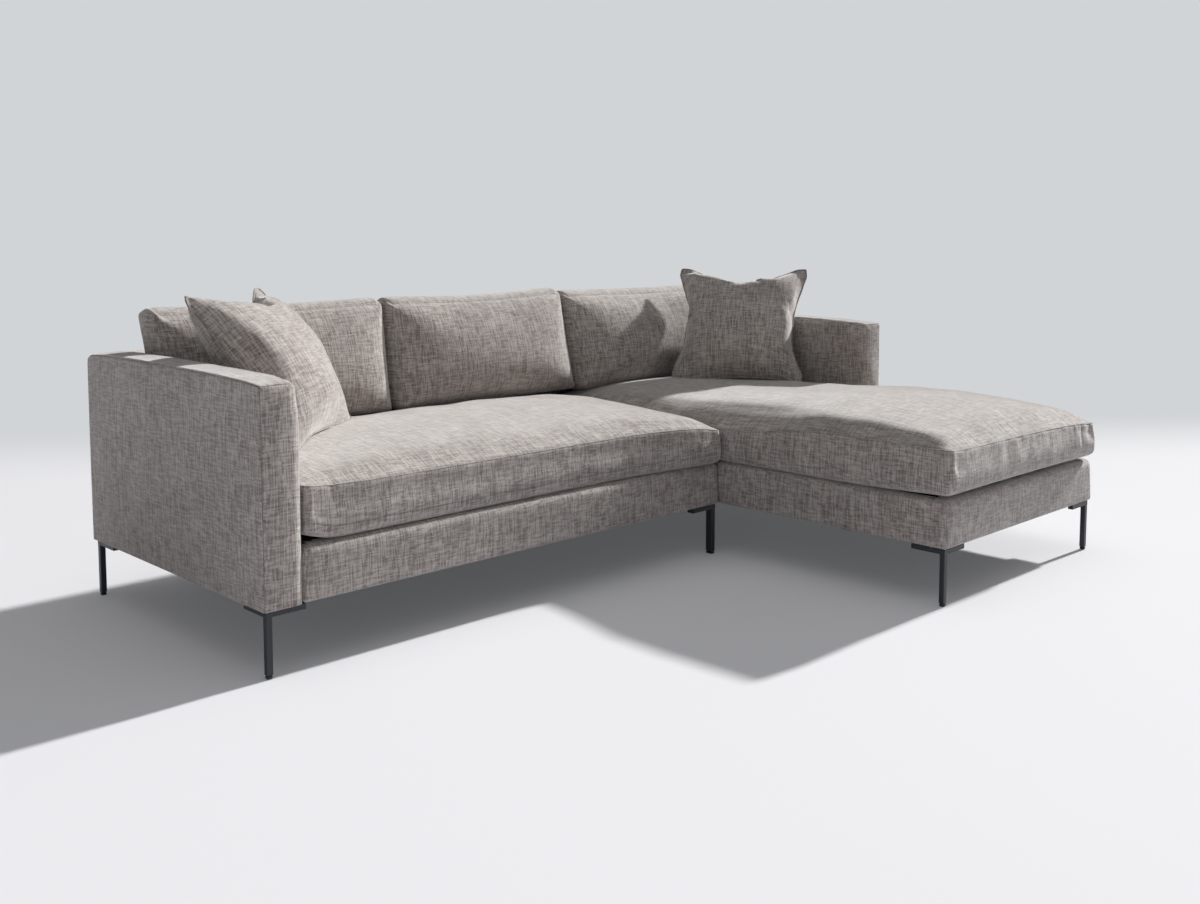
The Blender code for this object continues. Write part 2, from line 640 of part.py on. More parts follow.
def chaise_base():
    """Rails, seat platform and underside of the chaise, which is as wide as the arm in front of it."""
    low_x, high_x = X_JOINT + FIT_GAP, X_RIGHT
    rear = Y_BACK_FACE - FIT_GAP
    arm_front = Y_FRONT - FIT_GAP
    beside_arm = X_SEAT_RIGHT - FIT_GAP
    front_low, front_high = (low_x, Y_CHAISE, Z_BASE), (high_x, Y_CHAISE + COVER_LIP, Z_SEAT)
    covered_rail("chaise_front_rail_cover", front_low, front_high, (0, 1, 0), "chaise_front_rail")
    behind_front = Y_CHAISE + RAIL_REACH + FIT_GAP
    low, high = (low_x, behind_front, Z_BASE), (low_x + COVER_LIP, rear, Z_SEAT)
    covered_rail("chaise_inner_rail_cover", low, high, (1, 0, 0), "chaise_inner_rail")
    low, high = (high_x - COVER_LIP, behind_front, Z_BASE), (high_x, arm_front, Z_SEAT)
    covered_rail("chaise_outer_rail_cover", low, high, (-1, 0, 0), "chaise_outer_rail")
    inner_left = low_x + RAIL_REACH + FIT_GAP
    inner_right = high_x - RAIL_REACH - FIT_GAP
    low, high = (inner_left, rear - RAIL_THICKNESS, Z_BASE), (beside_arm, rear, Z_RAIL_TOP)
    board("chaise_back_rail", low, high, WOOD)
    low, high = (inner_left, arm_front - RAIL_THICKNESS, Z_BASE), (inner_right, arm_front, Z_RAIL_TOP)
    board("chaise_cross_rail", low, high, WOOD)
    before_back = rear - RAIL_THICKNESS - FIT_GAP
    low, high = (beside_arm - RAIL_THICKNESS, Y_FRONT, Z_BASE), (beside_arm, before_back, Z_RAIL_TOP)
    board("chaise_arm_rail", low, high, WOOD)
    before_cross = arm_front - RAIL_THICKNESS - FIT_GAP
    middle = (inner_left + inner_right) / 2
    low = (middle - STRETCHER_THICKNESS / 2, behind_front, Z_BASE)
    high = (middle + STRETCHER_THICKNESS / 2, before_cross, Z_RAIL_TOP - STRETCHER_DROP)
    board("chaise_stretcher", low, high, WOOD)
    lip_left = low_x + COVER_LIP + FIT_GAP
    platform("chaise", lip_left, Y_CHAISE + COVER_LIP + FIT_GAP, beside_arm, rear)
    dust_cover("chaise", X_JOINT, Y_CHAISE, X_RIGHT, Y_REAR)


def legs():
    """A leg under each corner of both sections: stouter ones where the sections meet."""
    middle = (MIDDLE_LEG_WIDTH, MIDDLE_LEG_DEPTH)
    plain = (LEG_WIDTH, LEG_WIDTH)
    leg("left_front_leg", X_LEFT, Y_FRONT, 1, 1, *plain)
    leg("left_rear_leg", X_LEFT, Y_REAR, 1, -1, *plain)
    leg("middle_front_leg", X_JOINT, Y_FRONT, -1, 1, *middle)
    leg("middle_rear_leg", X_JOINT, Y_REAR, -1, -1, *middle)
    leg("chaise_front_left_leg", X_JOINT, Y_CHAISE, 1, 1, *plain)
    leg("chaise_front_right_leg", X_RIGHT, Y_CHAISE, -1, 1, *plain)
    leg("chaise_rear_left_leg", X_JOINT, Y_REAR, 1, -1, *plain)
    leg("chaise_rear_right_leg", X_RIGHT, Y_REAR, -1, -1, *plain)


def seat_cushions():
    """The bench cushion, and the chaise cushion that fills out in front of the right arm."""
    split = X_JOINT - CUSHION_SPLIT
    rear = Y_BACK_FACE - CUSHION_GAP
    lines_x = spread(X_SEAT_LEFT + CUSHION_GAP, split - CUSHION_GAP / 2, 6)
    shape = (SEAT_BORDER, SEAT_CROWN, SEAT_CROWN_REACH, SEAT_DRAW_IN, SEAT_BULGE)
    bench = boxed_cushion("bench_seat_cushion", lines_x, spread(Y_FRONT, rear, 3), *shape)
    notch = (X_SEAT_RIGHT - CUSHION_GAP, Y_FRONT - CUSHION_GAP)
    lines_x = spread(split + CUSHION_GAP / 2, notch[0], 3) + [X_RIGHT - CUSHION_EDGE_CELL, X_RIGHT]
    front_lines = spread(Y_CHAISE - SEAT_OVERHANG, notch[1], 3)
    lines_y = front_lines + spread(notch[1], rear, 3)[1:]
    chaise = boxed_cushion("chaise_seat_cushion", lines_x, lines_y, *shape, notch=notch)
    for cushion in (bench, chaise):
        cushion.location.z = Z_SEAT + FIT_GAP
    bpy.context.view_layer.update()
    return bench, chaise


def back_cushions(seats):
    """Three back cushions that stand on the seat cushions and lean on the backs.

    The middle one is a little wider than its place and laps over the joint of the two sections."""
    split, lap = X_SEAT_LEFT + BENCH_SPLIT, X_JOINT + JOINT_LAP
    spans = {
        "left_back_cushion": (X_SEAT_LEFT, split, "sofa_back_cover"),
        "middle_back_cushion": (split, lap, "sofa_back_cover"),
        "chaise_back_cushion": (lap, X_SEAT_RIGHT, "chaise_back_cover"),
    }
    made = []
    for name, (low_x, high_x, support) in spans.items():
        lines_x = spread(low_x + CUSHION_GAP, high_x - CUSHION_GAP, 3)
        shape = (BACK_BORDER, BACK_CROWN, BACK_CROWN_REACH, BACK_DRAW_IN, BACK_BULGE, BACK_TAPER)
        cushion = boxed_cushion(name, lines_x, spread(0, BACK_CUSHION_HEIGHT, 2), *shape)
        stand_up(cushion, (0, Y_BACK_FACE - LIFT, Z_SEAT + SEAT_BORDER + SEAT_CROWN + LIFT))
        slide_until_touching(cushion, seats, (0, 0, -1), 2 * LIFT)
        slide_until_touching(cushion, [bpy.data.objects[support]], (0, 1, 0), 2 * LIFT)
        slide_until_touching(cushion, seats, (0, 0, -1), LIFT)
        made.append(cushion)
    return made


def throw_pillows(seats, backs):
    """A pillow in the left corner and one in the chaise's corner, both leaning across their corner."""
    left_x = X_SEAT_LEFT + LEFT_PILLOW_FROM_ARM
    chaise_x = X_SEAT_RIGHT - CHAISE_PILLOW_FROM_ARM
    settings = (
        ("left_pillow", "left_arm_cover", left_x, LEFT_PILLOW_FROM_BACK, LEFT_PILLOW_YAW, LEFT_PILLOW_TILT),
        ("chaise_pillow", "right_arm_cover", chaise_x, CHAISE_PILLOW_FROM_BACK,
         CHAISE_PILLOW_YAW, CHAISE_PILLOW_TILT),
    )
    for name, arm_name, middle_x, from_back, yaw, tilt in settings:
        turn = math.radians(yaw)
        front = Vector((math.sin(turn), -math.cos(turn), 0))
        half_height = PILLOW_SIZE / 2 * math.cos(math.radians(tilt))
        middle_z = Z_SEAT + SEAT_BORDER + SEAT_CROWN + half_height
        place = Vector((middle_x, Y_BACK_FACE - from_back, middle_z)) + front * PILLOW_LEAN
        pillow = throw_pillow(name, place, yaw, tilt)
        neighbours = [bpy.data.objects[arm_name], *backs]
        slide_until_touching(pillow, seats, (0, 0, -1), LIFT)
        slide_until_touching(pillow, neighbours, -front, 2 * PILLOW_LEAN)
        slide_until_touching(pillow, [*neighbours, *seats], (0, 0, -1), LIFT)


def build():
    arm("left", X_LEFT, 1)
    arm("right", X_RIGHT, -1)
    back("sofa", X_SEAT_LEFT, X_JOINT, bays=3)
    back("chaise", X_JOINT, X_SEAT_RIGHT, bays=2)
    two_seat_base()
    chaise_base()
    legs()
    for number, middle_y in enumerate((Y_FRONT + HOOK_INSET, Y_BACK_FACE - HOOK_INSET), start=1):
        hook_pair(number, middle_y)
    seats = seat_cushions()
    backs = back_cushions(seats)
    throw_pillows(seats, backs)


build()
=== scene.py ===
import functools
import math

import bmesh
import bpy
import numpy as np
from bpy.props import FloatProperty, FloatVectorProperty, PointerProperty
from mathutils import Matrix, Vector


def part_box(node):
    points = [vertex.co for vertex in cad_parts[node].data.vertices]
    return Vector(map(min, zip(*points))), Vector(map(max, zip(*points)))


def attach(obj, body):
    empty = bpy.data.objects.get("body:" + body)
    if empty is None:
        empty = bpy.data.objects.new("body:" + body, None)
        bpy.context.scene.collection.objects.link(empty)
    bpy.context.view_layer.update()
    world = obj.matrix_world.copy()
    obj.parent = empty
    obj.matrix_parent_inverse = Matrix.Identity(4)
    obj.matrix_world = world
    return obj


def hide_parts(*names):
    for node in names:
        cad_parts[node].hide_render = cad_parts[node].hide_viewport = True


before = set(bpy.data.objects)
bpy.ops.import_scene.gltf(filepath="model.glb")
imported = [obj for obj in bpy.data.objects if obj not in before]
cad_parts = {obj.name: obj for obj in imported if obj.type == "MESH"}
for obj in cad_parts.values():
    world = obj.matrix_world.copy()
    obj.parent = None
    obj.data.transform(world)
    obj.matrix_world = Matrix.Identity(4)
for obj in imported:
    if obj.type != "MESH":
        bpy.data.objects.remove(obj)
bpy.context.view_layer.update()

bl_info = {
    "name": "Corner sofa dressing",
    "version": (1, 0, 0),
    "blender": (4, 5, 0),
    "location": "3D View > Sidebar > Sofa",
    "description": "Cushions, covers, pillows and finishes of a corner sofa, laid over its solids",
    "category": "Object",
}

CLOTH_UV = "cloth_metres"
# The attribute that holds each point's share of the darkening at seams: painted shade in the seam's groove, with the
# line of its stitching.
SEAM_SHADE = "seam"
# The line on the floor, in metres, at which the floor ends and the background begins.
WALL_LINE = ((-0.2, 3.63, 0.0), (4.14, 0.18, 0.0))
# Points closer to a side than this, in metres, lie on it.
ON_SIDE = 1e-6


# Colours and nodes


def linear(colour):
    """An sRGB hex colour as linear red, green, blue and alpha."""
    channels = [int(colour[i:i + 2], 16) / 255 for i in (1, 3, 5)]
    return [c / 12.92 if c <= 0.04045 else ((c + 0.055) / 1.055) ** 2.4 for c in channels] + [1.0]


def add(tree, kind, terms=None, **settings):
    """Adds a node with its settings. Each of its terms is a socket's value, or the socket to link it from."""
    node = tree.nodes.new(kind)
    for key, value in settings.items():
        setattr(node, key, value)
    for key, term in (terms or {}).items():
        if isinstance(term, bpy.types.NodeSocket):
            tree.links.new(term, node.inputs[key])
        else:
            node.inputs[key].default_value = term
    return node


def reckon(tree, operation, *terms):
    """The outcome of one sum on its terms, each a socket or a number."""
    return add(tree, "ShaderNodeMath", dict(enumerate(terms)), operation=operation).outputs[0]


def mapped(tree, source, low, high, to_low=0.0, to_high=1.0, **settings):
    """A value moved from the range low to high into another range, and kept inside it."""
    ranges = {"Value": source, "From Min": low, "From Max": high, "To Min": to_low, "To Max": to_high}
    return add(tree, "ShaderNodeMapRange", ranges, **settings).outputs[0]


def blended(tree, share, first, second, **settings):
    """A colour between two, each a socket or a linear colour."""
    return add(tree, "ShaderNodeMix", {0: share, 6: first, 7: second}, data_type="RGBA", **settings).outputs[2]


def new_finish(name, **values):
    """A material with its surface shader's constants set, and the shader and the tree to add to."""
    plain = bpy.data.materials.get(name)
    if plain is not None:
        plain.name = name + "_of_solid"
    material = bpy.data.materials.new(name)
    material.use_nodes = True
    tree = material.node_tree
    shader = tree.nodes["Principled BSDF"]
    for key, value in values.items():
        shader.inputs[key.replace("_", " ")].default_value = value
    return material, tree, shader


# Meshes


def box_of(node):
    """The low and the high corner of a solid's box."""
    return [np.array(corner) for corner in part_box(node)]


def put_in(name, data):
    """A new object with its data, in the scene."""
    obj = bpy.data.objects.new(name, data)
    bpy.context.scene.collection.objects.link(obj)
    return obj


def give(obj, material):
    """Gives an object one material."""
    obj.data.materials.clear()
    obj.data.materials.append(material)


def cover_piece(obj, node):
    """Lets a soft piece stand for its solid, in the fabric."""
    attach(obj, "root")
    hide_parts(node)
    give(obj, bpy.data.materials["linen_look_fabric"])


def put_mesh(name, points, quads, metres, seam):
    """Puts points and four-cornered faces into an object, with its UV map in metres and the darkening at its seams,
    which is painted shade along with the stitching's line.
    """
    mesh = bpy.data.meshes.new(name)
    mesh.from_pydata(points.tolist(), [], quads.tolist())
    layer = mesh.uv_layers.new(name=CLOTH_UV)
    layer.data.foreach_set("uv", metres.astype(np.float32).ravel())
    worn = mesh.attributes.new(SEAM_SHADE, "FLOAT", "POINT")
    worn.data.foreach_set("value", seam.astype(np.float32))
    mesh.shade_smooth()
    return put_in(name, mesh)


def sewn_mesh(node, points, quads, metres, seam):
    """The mesh of a sewn piece, with one subdivision, the same on screen and in a render."""
    obj = put_mesh(node + "_sewn", points, quads, metres, seam)
    finer = obj.modifiers.new("finer", "SUBSURF")
    finer.levels = finer.render_levels = 1
    return obj


def grid_cells(index):
    """The four corners of each cell in a grid of point numbers."""
    return np.stack([index[:-1, :-1], index[1:, :-1], index[1:, 1:], index[:-1, 1:]], -1)


def spread(low, high, near, step):
    """Lines along a side: at the near offsets from both of its ends, and evenly spaced between them."""
    near = np.array(near)
    count = max(2, int(math.ceil((high - low - 2 * near[-1]) / step)) + 1)
    middle = np.linspace(low + near[-1], high - near[-1], count)
    return np.concatenate([low + near[:-1], middle, (high - near[:-1])[::-1]])


def rise(distance, reach):
    """A quarter sine: nought at an edge and one from the reach inwards."""
    return np.sin(0.5 * np.pi * np.clip(distance / reach, 0.0, 1.0))


def ease(share):
    """A smooth step from nought to one."""
    share = np.clip(share, 0.0, 1.0)
    return share * share * (3 - 2 * share)


def ripple(a, b, seed, longest, shortest, waves=9):
    """A soft uneven surface of about plus or minus one: a sum of sines of seeded length, way and phase."""
    rng = np.random.default_rng(seed)
    total = np.zeros(np.broadcast(a, b).shape)
    for _ in range(waves):
        length = math.exp(rng.uniform(math.log(shortest), math.log(longest)))
        way, phase = rng.uniform(0, 2 * math.pi, 2)
        total += np.sin(2 * math.pi * (a * math.cos(way) + b * math.sin(way)) / length + phase)
    return total / math.sqrt(waves)


# Padded covers of the arms, backs and rails


# The grid's lines near an edge and its step elsewhere, and the cover's wall, in metres.
COVER_NEAR = (0.0, 0.0012, 0.0026, 0.005, 0.0085, 0.012, 0.016, 0.024)
COVER_STEP = 0.010
COVER_WALL = 0.004
# The radius of the covers' hardest edges, and the side below as (axis, sign).
HARD_EDGE = 0.005
BELOW = (2, -1)
# A seam in a cover is a groove with a ridge of cloth beside it. The stretched cloth ripples as much as the ridge.
GROOVE_DEPTH, GROOVE_WIDTH = 0.0018, 0.0014
RIDGE_HEIGHT, RIDGE_PLACE, RIDGE_WIDTH = 0.0005, 0.0045, 0.0022


def padded_cover(name, radius, bulge, seam_distance, open_side, seed, longer=(), butted=(), settle=None):
    """The cover of an arm, back or rail, from the box of its solid.

    Each of the six sides is a grid of points on the box. A point's inner point is the box drawn in by
    the local radius, and the surface lies one radius from it, so that edges and corners are rounded.
    Along the outward direction it then gets the bulge of its side, a hill of the shares along the side's
    two directions, with a soft ripple, and a groove at seams. bulge is given by (axis, sign).
    The open side, given as (axis, sign), is left out, and a wall thickness is added. longer moves
    sides out, as (axis, sign, length), and butted sides keep square edges where the next cover meets.
    settle moves the finished points, from their places."""
    low, high = box_of(name)
    for axis, sign, length in longer:
        (low, high)[sign > 0][axis] += sign * length
    lines = [spread(low[k], high[k], COVER_NEAR, COVER_STEP) for k in range(3)]
    points, quads, metres, total = [], [], [], 0
    for k in range(3):
        a, b = (k + 1) % 3, (k + 2) % 3
        for sign in (-1, 1):
            if (k, sign) == open_side:
                continue
            grid_a, grid_b = np.meshgrid(lines[a], lines[b], indexing="ij")
            side = np.empty(grid_a.shape + (3,))
            side[..., a], side[..., b] = grid_a, grid_b
            side[..., k] = (low, high)[sign > 0][k]
            index = np.arange(grid_a.size).reshape(grid_a.shape) + total
            faces = grid_cells(index).reshape(-1, 4)
            faces = faces if sign > 0 else faces[:, ::-1]
            total += grid_a.size
            flat = side.reshape(-1, 3)
            across, up = (b, a) if k == 1 else (a, b)
            points.append(flat)
            quads.append(faces)
            metres.append(flat[:, [across, up]][faces - index[0, 0]])
    points, quads, metres = np.concatenate(points), np.concatenate(quads), np.concatenate(metres)
    _, first, merged = np.unique(np.round(points, 7), axis=0, return_index=True, return_inverse=True)
    points, quads = points[first], merged.reshape(-1)[quads]
    r = radius(points)[:, None]
    inset_low, inset_high = low + r, high - r
    for axis, sign in (open_side, *butted):
        if sign < 0:
            inset_low[:, axis] = low[axis]
        else:
            inset_high[:, axis] = high[axis]
    inner = np.clip(points, inset_low, inset_high)
    outward = points - inner
    length = np.linalg.norm(outward, axis=1, keepdims=True)
    outward /= np.where(length > 0, length, 1)
    share = np.clip((points - low) / (high - low), 0, 1)
    full, swell = np.ones(len(points)), np.zeros(len(points))
    for k in range(3):
        hill = (4 * share[:, k] * (1 - share[:, k])) ** 0.6
        full *= np.where(np.abs(outward[:, k]) > 0.999, 1.0, hill)
        for sign in (-1, 1):
            swell += bulge.get((k, sign), 0.0) * np.maximum(sign * outward[:, k], 0) ** 2
    d = seam_distance(points, low, high)
    groove = np.exp(-(d / GROOVE_WIDTH) ** 2)
    ridge = np.exp(-((d - RIDGE_PLACE) / RIDGE_WIDTH) ** 2)
    x, y, z = points.T
    push = swell * full
    push += RIDGE_HEIGHT * full * ripple(x + y, z + 0.5 * y, seed, 0.35, 0.08)
    push += RIDGE_HEIGHT * ridge - GROOVE_DEPTH * groove
    placed = inner + outward * (r + push[:, None])
    placed = placed if settle is None else settle(placed)
    # The groove's mask is also the seam's darkening: painted shade in the groove, with the stitching's line.
    obj = put_mesh(name + "_padded", placed, quads, metres + seed * 0.37, groove)
    wall = obj.modifiers.new("padding", "SOLIDIFY")
    wall.thickness = COVER_WALL
    wall.offset = -1
    return obj


# Boxed cushions


def plan_depth(s, t, rectangles, corner):
    """Distance inside the outline: the greatest depth in any of its rectangles with rounded corners."""
    depth = np.full(np.broadcast(s, t).shape, -1.0)
    for low_s, high_s, low_t, high_t in rectangles:
        half_s, half_t = (high_s - low_s) / 2 - corner, (high_t - low_t) / 2 - corner
        out_s = np.abs(s - (low_s + high_s) / 2) - half_s
        out_t = np.abs(t - (low_t + high_t) / 2) - half_t
        outside = np.hypot(np.maximum(out_s, 0), np.maximum(out_t, 0))
        depth = np.maximum(depth, corner - outside - np.minimum(np.maximum(out_s, out_t), 0))
    return depth


def boxed_cushion(lines_s, lines_t, rectangles, corner, low_w, high_w, layers, shape):
    """A cushion of two panels and a border, in its own directions s and t across and w through it.

    The panels are a grid in plan, cut to the outline, whose outer corners are turned from a square's
    to a quarter disc's. The border is the outline carried up through the layers, given as shares.
    low_w and high_w give the height of the two seams at any place in plan. shape then moves the
    points, from their place, depth inside the outline, height share in the border, and way out."""
    s, t = np.meshgrid(lines_s, lines_t, indexing="ij")
    centres = [(lines[1:] + lines[:-1]) / 2 for lines in (lines_s, lines_t)]
    cells = plan_depth(*np.meshgrid(*centres, indexing="ij"), rectangles, 0.0) > 0
    padded = np.pad(cells, 1)
    touching = padded[:-1, :-1].astype(int) + padded[1:, :-1] + padded[:-1, 1:] + padded[1:, 1:]
    used, edge = touching > 0, (touching > 0) & (touching < 4)
    index = np.full(s.shape, -1)
    index[used] = np.arange(used.sum())
    count = int(used.sum())
    plan = np.stack([s, t], -1)
    for low_s, high_s, low_t, high_t in rectangles:
        for end_s, way_s in ((low_s, 1), (high_s, -1)):
            for end_t, way_t in ((low_t, 1), (high_t, -1)):
                inner_s, inner_t = end_s + way_s * corner, end_t + way_t * corner
                if plan_depth(end_s - way_s * 0.001, end_t + way_t * 0.05, rectangles, 0.0) > 0:
                    continue
                if plan_depth(end_s + way_s * 0.05, end_t - way_t * 0.001, rectangles, 0.0) > 0:
                    continue
                a, b = (inner_s - s) * way_s / corner, (inner_t - t) * way_t / corner
                zone = (a > 0) & (b > 0) & (a < 1.001) & (b < 1.001)
                a, b = np.clip(a, 0, 1), np.clip(b, 0, 1)
                plan[..., 0] = np.where(zone, inner_s - way_s * corner * a * np.sqrt(1 - b * b / 2), plan[..., 0])
                plan[..., 1] = np.where(zone, inner_t - way_t * corner * b * np.sqrt(1 - a * a / 2), plan[..., 1])
    quads_top = grid_cells(index)[cells]
    flat_plan = plan[used]
    square_plan = np.stack([s, t], -1)[used]
    ring = index[edge]
    place = np.full(count, -1)
    place[ring] = np.arange(len(ring))
    starts, ends = [], []
    for shift, (i0, j0), (i1, j1) in (
        ((0, -1), (0, 0), (1, 0)), ((1, 0), (1, 0), (1, 1)), ((0, 1), (1, 1), (0, 1)), ((-1, 0), (0, 1), (0, 0)),
    ):
        beside = padded[1 + shift[0]:padded.shape[0] - 1 + shift[0], 1 + shift[1]:padded.shape[1] - 1 + shift[1]]
        i, j = np.nonzero(cells & ~beside)
        starts.append(index[i + i0, j + j0])
        ends.append(index[i + i1, j + j1])
    starts, ends = np.concatenate(starts), np.concatenate(ends)
    across = np.abs(square_plan[ends, 0] - square_plan[starts, 0]) > 1e-9
    layer_count = len(layers)
    levels = np.empty((layer_count, count), int)
    levels[0], levels[-1] = np.arange(count) + count, np.arange(count)
    for level in range(1, layer_count - 1):
        levels[level] = np.where(place >= 0, 2 * count + (level - 1) * len(ring) + place, -1)
    border = np.stack([levels[:-1, starts], levels[:-1, ends], levels[1:, ends], levels[1:, starts]], -1)
    border = border.reshape(-1, 4)
    quads = np.concatenate([quads_top, quads_top[:, ::-1] + count, border])
    ring_plan = flat_plan[ring]
    places = np.concatenate([flat_plan, flat_plan, np.tile(ring_plan, (layer_count - 2, 1))])
    shares = np.concatenate([np.ones(count), np.zeros(count), np.repeat(layers[1:-1], len(ring))])
    kind = np.concatenate([np.ones(count), np.full(count, -1), np.zeros(len(ring) * (layer_count - 2))])

    def depth_at(ahead_s, ahead_t):
        return plan_depth(places[:, 0] + ahead_s, places[:, 1] + ahead_t, rectangles, corner)

    depth = np.maximum(depth_at(0, 0), 0.0)
    tiny = 0.0005
    way = np.stack([depth_at(-tiny, 0) - depth_at(tiny, 0), depth_at(0, -tiny) - depth_at(0, tiny)], -1)
    way /= np.maximum(np.linalg.norm(way, axis=1, keepdims=True), 1e-9)
    low, high = low_w(places[:, 0], places[:, 1]), high_w(places[:, 0], places[:, 1])
    w = low + (high - low) * shares
    points = np.concatenate([places, w[:, None]], 1)
    corners = (starts, ends, ends, starts)
    run = np.stack([np.where(across, square_plan[k, 0], square_plan[k, 1]) for k in corners], -1)
    border_metres = np.stack([np.tile(run, (layer_count - 1, 1)), points[border][..., 2]], -1)
    metres = np.concatenate([square_plan[quads_top], square_plan[quads_top[:, ::-1]] + 0.5, border_metres])
    points, seam = shape(points, depth, shares, kind, way, low, high)
    return points, quads, metres, seam


def roll_edge(points, depth, kind, way, below, radius, sign):
    """Rounds the edge at a seam: the square zone within a radius of it is drawn onto a quarter round.

    below is each point's distance from the seam through the cushion, and sign is the way w points out."""
    p = np.clip(1 - depth / radius, 0, 1)
    q = np.clip(1 - below / radius, 0, 1)
    norm = np.maximum(np.hypot(p, q), 1.0)
    top = kind == sign
    side = kind == 0
    q = np.where(top, 1.0, q)
    p = np.where(side, 1.0, p)
    norm = np.where((top | side) & (p > 0) & (q > 0), np.hypot(p, q), 1.0)
    moved = points.copy()
    moved[:, :2] -= way * (radius * p * (1 - 1 / norm))[:, None]
    moved[:, 2] -= sign * radius * q * (1 - 1 / norm)
    return moved


# The layers of a border as shares of its height, close together at its seams.
SEAT_LAYERS = np.array([
    0, 1.5, 4, 8, 14, 20, 25, 28, 29.2, 30, 30.8, 32, 35, 41, 50, 60, 70, 80, 90, 99, 106, 112, 117,
    120.5, 123, 124.8, 126, 127]) / 127
BACK_LAYERS = np.array([0, 3, 7, 12, 18, 26, 36, 46, 56, 66, 76, 86, 94, 101, 107, 112, 117, 121, 124, 127]) / 127
CUSHION_NEAR = (0.0, 0.0012, 0.0026, 0.0045, 0.0075, 0.012, 0.019, 0.029)
# The coarse skin that is blown up in a cushion's place.
SKIN_NEAR, SKIN_LAYERS = (0.0, 0.010), np.linspace(0, 1, 8)
CLOTH_FRAMES = 20
# How each kind of cushion is stuffed: what stuffed() takes.
SEAT_STUFFING = {"pressure": 2.4, "most": 0.009, "held_share": 0.45, "stitched": 0.03, "bend": 12.0, "kept": 0.9}
BACK_STUFFING = {"pressure": 4.0, "most": 0.020, "held_share": 0.40, "stitched": 0.10, "bend": 5.0, "kept": 0.0}
# How far the outline of a cushion's panel lies inside its box, and its gap to the arm, in metres.
SEAT_INSET, BACK_INSET, ARM_GAP = 0.006, 0.005, 0.002
# The radius of each outline's corners, and the height of the seat cushions' top seams.
BENCH_CORNER, CHAISE_CORNER, BACK_CORNER = 0.016, 0.020, 0.022
BENCH_SEAM, CHAISE_SEAM = 0.4075, 0.412


def round_the_border(points, way):
    """A coordinate along the border: x on the front and back, y on the sides, each side on its own stretch."""
    front_or_back = np.abs(way[:, 1]) > np.abs(way[:, 0])
    side = np.where(front_or_back, np.where(way[:, 1] < 0, 0, 20), np.where(way[:, 0] > 0, 10, 30))
    return np.where(front_or_back, points[:, 0], points[:, 1]) + side


def gathers(along, away, seed, stretches):
    """Depth of the short creases that a seam pulls into the cloth: a sum of narrow hollows across the seam.

    Each stretch is (start, end, spacing, depth, reach): its creases are seeded at uneven places along
    it, each a bell across the crease and a bell of the distance away from the seam."""
    rng = np.random.default_rng(seed)
    total = np.zeros(len(along))
    for start, end, spacing, deepest, reach in stretches:
        count = max(1, int((end - start) / spacing))
        places = start + (np.arange(count) + rng.uniform(0.1, 0.9, count)) * (end - start) / count
        depths = deepest * rng.uniform(0.25, 1.0, count)
        widths = rng.uniform(0.16, 0.34, count) * min(spacing, 0.030)
        reaches = reach * rng.uniform(0.5, 1.1, count)
        leans = rng.uniform(-0.25, 0.25, count)
        near = np.nonzero((away < 2.5 * reach) & (along > start - 0.05) & (along < end + 0.05))[0]
        across = along[near, None] - places - leans * away[near, None]
        total[near] += (depths * np.exp(-(across / widths) ** 2 - (away[near, None] / reaches) ** 2)).sum(1)
    return total


